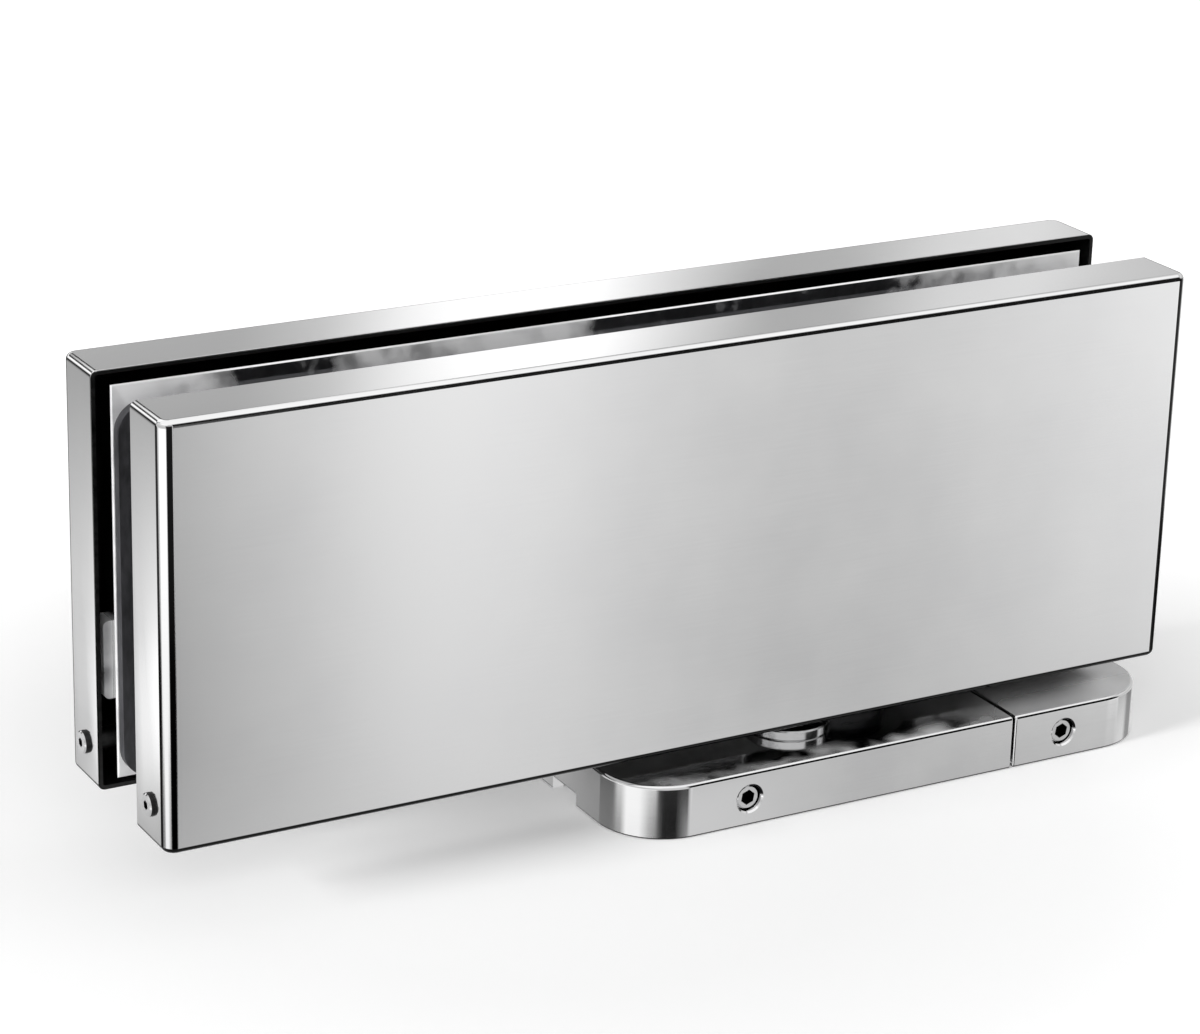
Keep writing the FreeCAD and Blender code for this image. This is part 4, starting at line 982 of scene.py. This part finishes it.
def add_floor():
    """A white floor that keeps the object's shadow, with a painted shadow where its glow dims near the
    object.
    """
    work = bmesh.new()
    bmesh.ops.create_grid(work, x_segments=1, y_segments=1, size=FLOOR_SIZE / 2)
    floor = object_from("floor", work)
    material, tree = empty_material("floor_paper")
    rays = node(tree, "ShaderNodeLightPath").outputs
    seen = plus(tree, rays["Is Camera Ray"], rays["Is Glossy Ray"], rays["Is Transmission Ray"])
    spot = node(tree, "ShaderNodeTexCoord").outputs["Object"]
    away = node(tree, "ShaderNodeVectorMath", {0: spot, 1: SHADOW_MIDDLE}, operation="DISTANCE")
    white = ramp(tree, away.outputs["Value"], SHADOWED_FLOOR_GLOW[0][0], SHADOWED_FLOOR_GLOW[-1][0], SHADOWED_FLOOR_GLOW)
    paper = node(tree, "ShaderNodeBsdfDiffuse", {"Color": PAPER_WHITE})
    glow = node(tree, "ShaderNodeEmission", {"Color": WHITE, "Strength": times(tree, seen, white)})
    both = node(tree, "ShaderNodeAddShader", {0: paper.outputs[0], 1: glow.outputs[0]})
    node(tree, "ShaderNodeOutputMaterial", {"Surface": both.outputs[0]})
    paint(floor, material)
    floor.visible_glossy = False
    floor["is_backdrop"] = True


# Brightness of the studio against the compass angle from the front, positive to the heel.
# The base mirrors the floor nearby, and the covers' edges mirror the walls farther away.
NEAR_WALL = [(-180, 0.75), (-153, 0.75), (-149, 0.3), (-120, 0.27), (-97, 0.4), (-86, 1.4), (-62, 1.4),
             (-45, 0.56), (-28, 0.13), (-21, 0.01), (0, 0.01), (7, 0.14), (20, 0.5), (26, 0.9), (32.2, 1.0),
             (33.6, 0.72), (35, 0.68), (39, 0.72), (45, 0.74), (60, 0.72), (72, 1.0), (87, 1.0), (98, 0.42),
             (128, 0.36), (140, 0.03), (180, 0.01)]
FAR_WALL = [(-180, 0.75), (-153, 0.75), (-149, 0.05), (-112, 0.05), (-103, 1.35), (-35, 1.35), (-29, 0.01),
            (21.4, 0.01), (22.6, 0.56), (23.1, 0.62), (25, 0.73), (27, 1.06), (29, 0.93), (31, 0.74),
            (33, 0.63), (35, 0.68), (38.7, 0.9), (45, 1.2), (64, 1.2), (68, 0.02), (180, 0.01)]
# The rise at which the near floor gives way to the far walls, counted from RISE_ZERO below the horizon
RISE_ZERO = 30.0
NEAR_LEVEL = [(-180, 6.0), (0, 6.0), (20, 5.4), (28, 5.2), (31.5, 6.0), (34.5, 6.8), (38.6, 7.7), (45, 7.9),
              (180, 7.9)]
BACK_WALL = [(-180, 1.25), (-150, 1.25), (-140, 0.3), (90, 0.3), (135, 0.5), (141.8, 0.66), (143.2, 0.86),
             (144.2, 0.95), (146, 0.56), (147.3, 0.46), (148.4, 0.54), (149.5, 1.07), (150.6, 1.4),
             (152.7, 1.4), (153.8, 0.92), (155, 0.6), (156, 0.5), (158.5, 0.52), (163, 0.6), (169, 1.25),
             (180, 1.25)]
# How each wall fades with the height above the horizon, and the white roof over them
LOW_RISE = [(-90, 0.0), (-46, 0.0), (-36, 0.35), (-25, 0.8), (-19.3, 1.0), (-15, 1.18), (-13, 1.2),
            (-10, 0.02), (26, 0.01)]
LEFT_RISE = [(-30, 0.4), (-25, 0.65), (-24, 0.74), (-22.5, 0.88), (-21, 0.92), (-20, 0.88), (-19, 0.75),
             (-18, 0.57), (-12, 0.4), (-3, 0.05), (0, 0.0)]
LEFT_PANEL = [(-24.7, 0.0), (-23.7, 0.95), (-22.7, 0.95), (-21.6, 0.4), (-20.2, 0.15), (-19.4, 0.0)]
BACK_RISE = [(0, 0.0), (4, 0.05), (11, 1.0), (42, 1.0), (52, 0.0)]
# The part of the back that the base's top mirrors from under the covers
UNDER_WALL = [(0, 0.02), (130, 0.6), (140, 0.5), (141.5, 0.42), (142.5, 0.3), (143.6, 0.3), (144.2, 0.16),
              (145, 0.06), (146, 0.02), (148.6, 0.01), (180, 0.01)]
UNDER_RISE = [(19.6, 0.0), (20.8, 1.0), (26.5, 1.0), (28.5, 0.0)]
WINDOW = [(-118, 0.0), (-106, 1.2), (-30, 1.2), (-18, 0.0)]
WINDOW_RISE = [(2, 0.0), (8, 1.0), (40, 1.0), (48, 0.0)]
FRONT_ROOF = [(38, 0.0), (47, 1.15), (90, 1.15)]
BACK_ROOF = [(40, 0.0), (52, 1.15), (90, 1.15)]
# Everywhere else the studio is open and light, so the steel stays bright from other sides
OPEN_RISE = [(-90, 0.5), (-60, 0.62), (-30, 0.7), (-8, 0.85), (5, 0.6), (25, 0.8), (60, 1.0), (90, 1.0)]
MIDDLE_SIDE = [(-170, 0.0), (-165, 1.0), (116, 1.0), (123, 0.0)]
UPPER_SIDE = [(-170, 0.0), (-165, 1.0), (-147, 1.0), (-143, 0.0), (-113, 0.0), (-103, 1.0), (-35, 1.0),
              (-30, 0.0), (19, 0.0), (22, 1.0), (64, 1.0), (68, 0.0)]
UPPER_LEVEL = [(-180, 8.2), (8, 8.2), (15, 8.0), (40, 8.4), (50, 10.5), (180, 10.5)]
HIGH_SIDE = [(-180, 1.0), (-139, 1.0), (-133, 0.0), (19, 0.0), (22, 1.0), (58, 1.0), (64, 0.0), (131, 0.0),
             (136, 1.0), (180, 1.0)]
HIGH_LEVEL = [(-180, 13.8), (8, 13.8), (15, 17.0), (58, 17.0), (66, 15.5), (180, 15.5)]
# Edges between the parts of the studio, in degrees, and the depth at which the back starts
LOW_EDGE = (-34.0, -31.0)
TOP_EDGE = (36.0, 44.0)
LEFT_EDGE = (-150, -153)
PANEL_EDGE = (-158.2, -157.5)
WALL_SOFTNESS = 0.15
OPEN_SOFTNESS = 0.5
BACK_START = (-0.05, 0.05)
SOFT_LIGHT = 0.14
# Soft lamps: place, target, width, depth and power
SOFTBOXES = {
    "overhead_softbox": ((-0.05, 0.15, 0.9), (-0.04, 0.0, 0.03), 1.2, 1.2, 1.0),
    "front_softbox": ((-0.45, -0.95, 0.55), (-0.04, 0.0, 0.03), 1.0, 0.7, 6.0),
    "left_softbox": ((-1.6, -0.1, 0.5), (-0.1, 0.0, 0.0), 0.5, 0.48, 32.0),
    "right_softbox": ((0.8, -0.3, 0.3), (0.0, 0.0, 0.0), 0.8, 0.3, 2.5),
}


def around(tree, compass, stops):
    """A value that changes round the compass."""
    return ramp(tree, compass, -180, 180, stops)


def upwards(tree, rise, stops):
    """A value that changes from straight down to straight up."""
    return ramp(tree, rise, -90, 90, stops)


def over_level(tree, compass, rise, stops, softness):
    """One above a level that changes round the compass, and zero below it."""
    level = calculate(tree, "SUBTRACT", around(tree, compass, stops), RISE_ZERO)
    return remap(tree, calculate(tree, "SUBTRACT", rise, level), -softness, softness, smooth=True)


def photo_share(tree, compass, rise):
    """One where the photograph's camera sees the direction mirrored, and zero elsewhere."""
    middle_part = blend(tree, over_level(tree, compass, rise, UPPER_LEVEL, OPEN_SOFTNESS),
                        around(tree, compass, MIDDLE_SIDE), around(tree, compass, UPPER_SIDE))
    share = times(tree, middle_part, remap(tree, rise, *LOW_EDGE, smooth=True))
    top = remap(tree, rise, *TOP_EDGE, smooth=True)
    high_part = calculate(tree, "MAXIMUM", around(tree, compass, HIGH_SIDE), top)
    return blend(tree, over_level(tree, compass, rise, HIGH_LEVEL, OPEN_SOFTNESS), share, high_part)


def add_world():
    """White to the camera, soft to the floor, and a studio of walls and a roof to polished metal."""
    world = bpy.data.worlds.new("studio")
    scene.world = world
    world.use_nodes = True
    world.cycles.sampling_method = "NONE"
    tree = world.node_tree
    tree.nodes.clear()
    x, y, z = parts(tree, node(tree, "ShaderNodeTexCoord").outputs["Generated"])
    degrees = math.degrees(1)
    compass = times(tree, calculate(tree, "ARCTAN2", x, times(tree, y, -1.0)), degrees)
    rise = times(tree, calculate(tree, "ARCSINE", z), degrees)
    behind = remap(tree, y, *BACK_START, smooth=True)
    at_left = remap(tree, compass, *LEFT_EDGE, smooth=True)
    fade = blend(tree, at_left, upwards(tree, rise, LOW_RISE), upwards(tree, rise, LEFT_RISE))
    walls = blend(tree, over_level(tree, compass, rise, NEAR_LEVEL, WALL_SOFTNESS),
                  around(tree, compass, NEAR_WALL), around(tree, compass, FAR_WALL))
    beside = remap(tree, compass, *PANEL_EDGE, smooth=True)
    panel = times(tree, upwards(tree, rise, LEFT_PANEL), beside, at_left)
    window = times(tree, around(tree, compass, WINDOW), upwards(tree, rise, WINDOW_RISE))
    low_part = plus(tree, times(tree, walls, fade), panel, window)
    behind_walls = blend(tree, upwards(tree, rise, UNDER_RISE), around(tree, compass, BACK_WALL),
                         around(tree, compass, UNDER_WALL))
    back_part = times(tree, behind_walls, upwards(tree, rise, BACK_RISE), behind)
    roof = blend(tree, behind, upwards(tree, rise, FRONT_ROOF), upwards(tree, rise, BACK_ROOF))
    studio = plus(tree, low_part, back_part, roof)
    studio = blend(tree, photo_share(tree, compass, rise), upwards(tree, rise, OPEN_RISE), studio)
    rays = node(tree, "ShaderNodeLightPath").outputs
    white = plus(tree, rays["Is Camera Ray"], rays["Is Transmission Ray"])
    glossy = times(tree, rays["Is Glossy Ray"], studio)
    unseen = calculate(tree, "SUBTRACT", 1.0, plus(tree, white, rays["Is Glossy Ray"]))
    strength = plus(tree, white, glossy, times(tree, unseen, SOFT_LIGHT))
    background = node(tree, "ShaderNodeBackground", {"Color": WHITE, "Strength": strength})
    node(tree, "ShaderNodeOutputWorld", {"Surface": background.outputs[0]})


def add_softbox(name, place, target, width, depth, power):
    """A large soft lamp that metal doesn't mirror."""
    lamp = bpy.data.lights.new(name, "AREA")
    lamp.shape = "RECTANGLE"
    lamp.size = width
    lamp.size_y = depth
    lamp.energy = power
    holder = new_object(name, lamp)
    holder.location = place
    holder.rotation_mode = "QUATERNION"
    holder.rotation_quaternion = (Vector(target) - Vector(place)).to_track_quat("-Z", "Y")
    holder.visible_glossy = False
    holder.visible_camera = False


def add_camera():
    """The photograph's camera."""
    azimuth = math.radians(VIEW_AZIMUTH)
    elevation = math.radians(VIEW_ELEVATION)
    roll = math.radians(VIEW_ROLL)
    back = Vector((math.sin(azimuth) * math.cos(elevation), -math.cos(azimuth) * math.cos(elevation),
                   math.sin(elevation)))
    right = Vector((math.cos(azimuth), math.sin(azimuth), 0))
    up = back.cross(right)
    tilted_right = right * math.cos(roll) + up * math.sin(roll)
    tilted_up = up * math.cos(roll) - right * math.sin(roll)
    lens = bpy.data.cameras.new("photo_camera")
    lens.sensor_fit = "HORIZONTAL"
    lens.sensor_width = SENSOR_WIDTH
    lens.lens = VIEW_LENS
    camera = new_object("photo_camera", lens)
    turn = Matrix((tilted_right, tilted_up, back)).transposed().to_4x4()
    camera.matrix_world = Matrix.Translation(VIEW_TARGET + back * VIEW_DISTANCE) @ turn
    scene.camera = camera


add_floor()
add_world()
for name, values in SOFTBOXES.items():
    add_softbox(name, *values)
add_camera()

low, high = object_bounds()
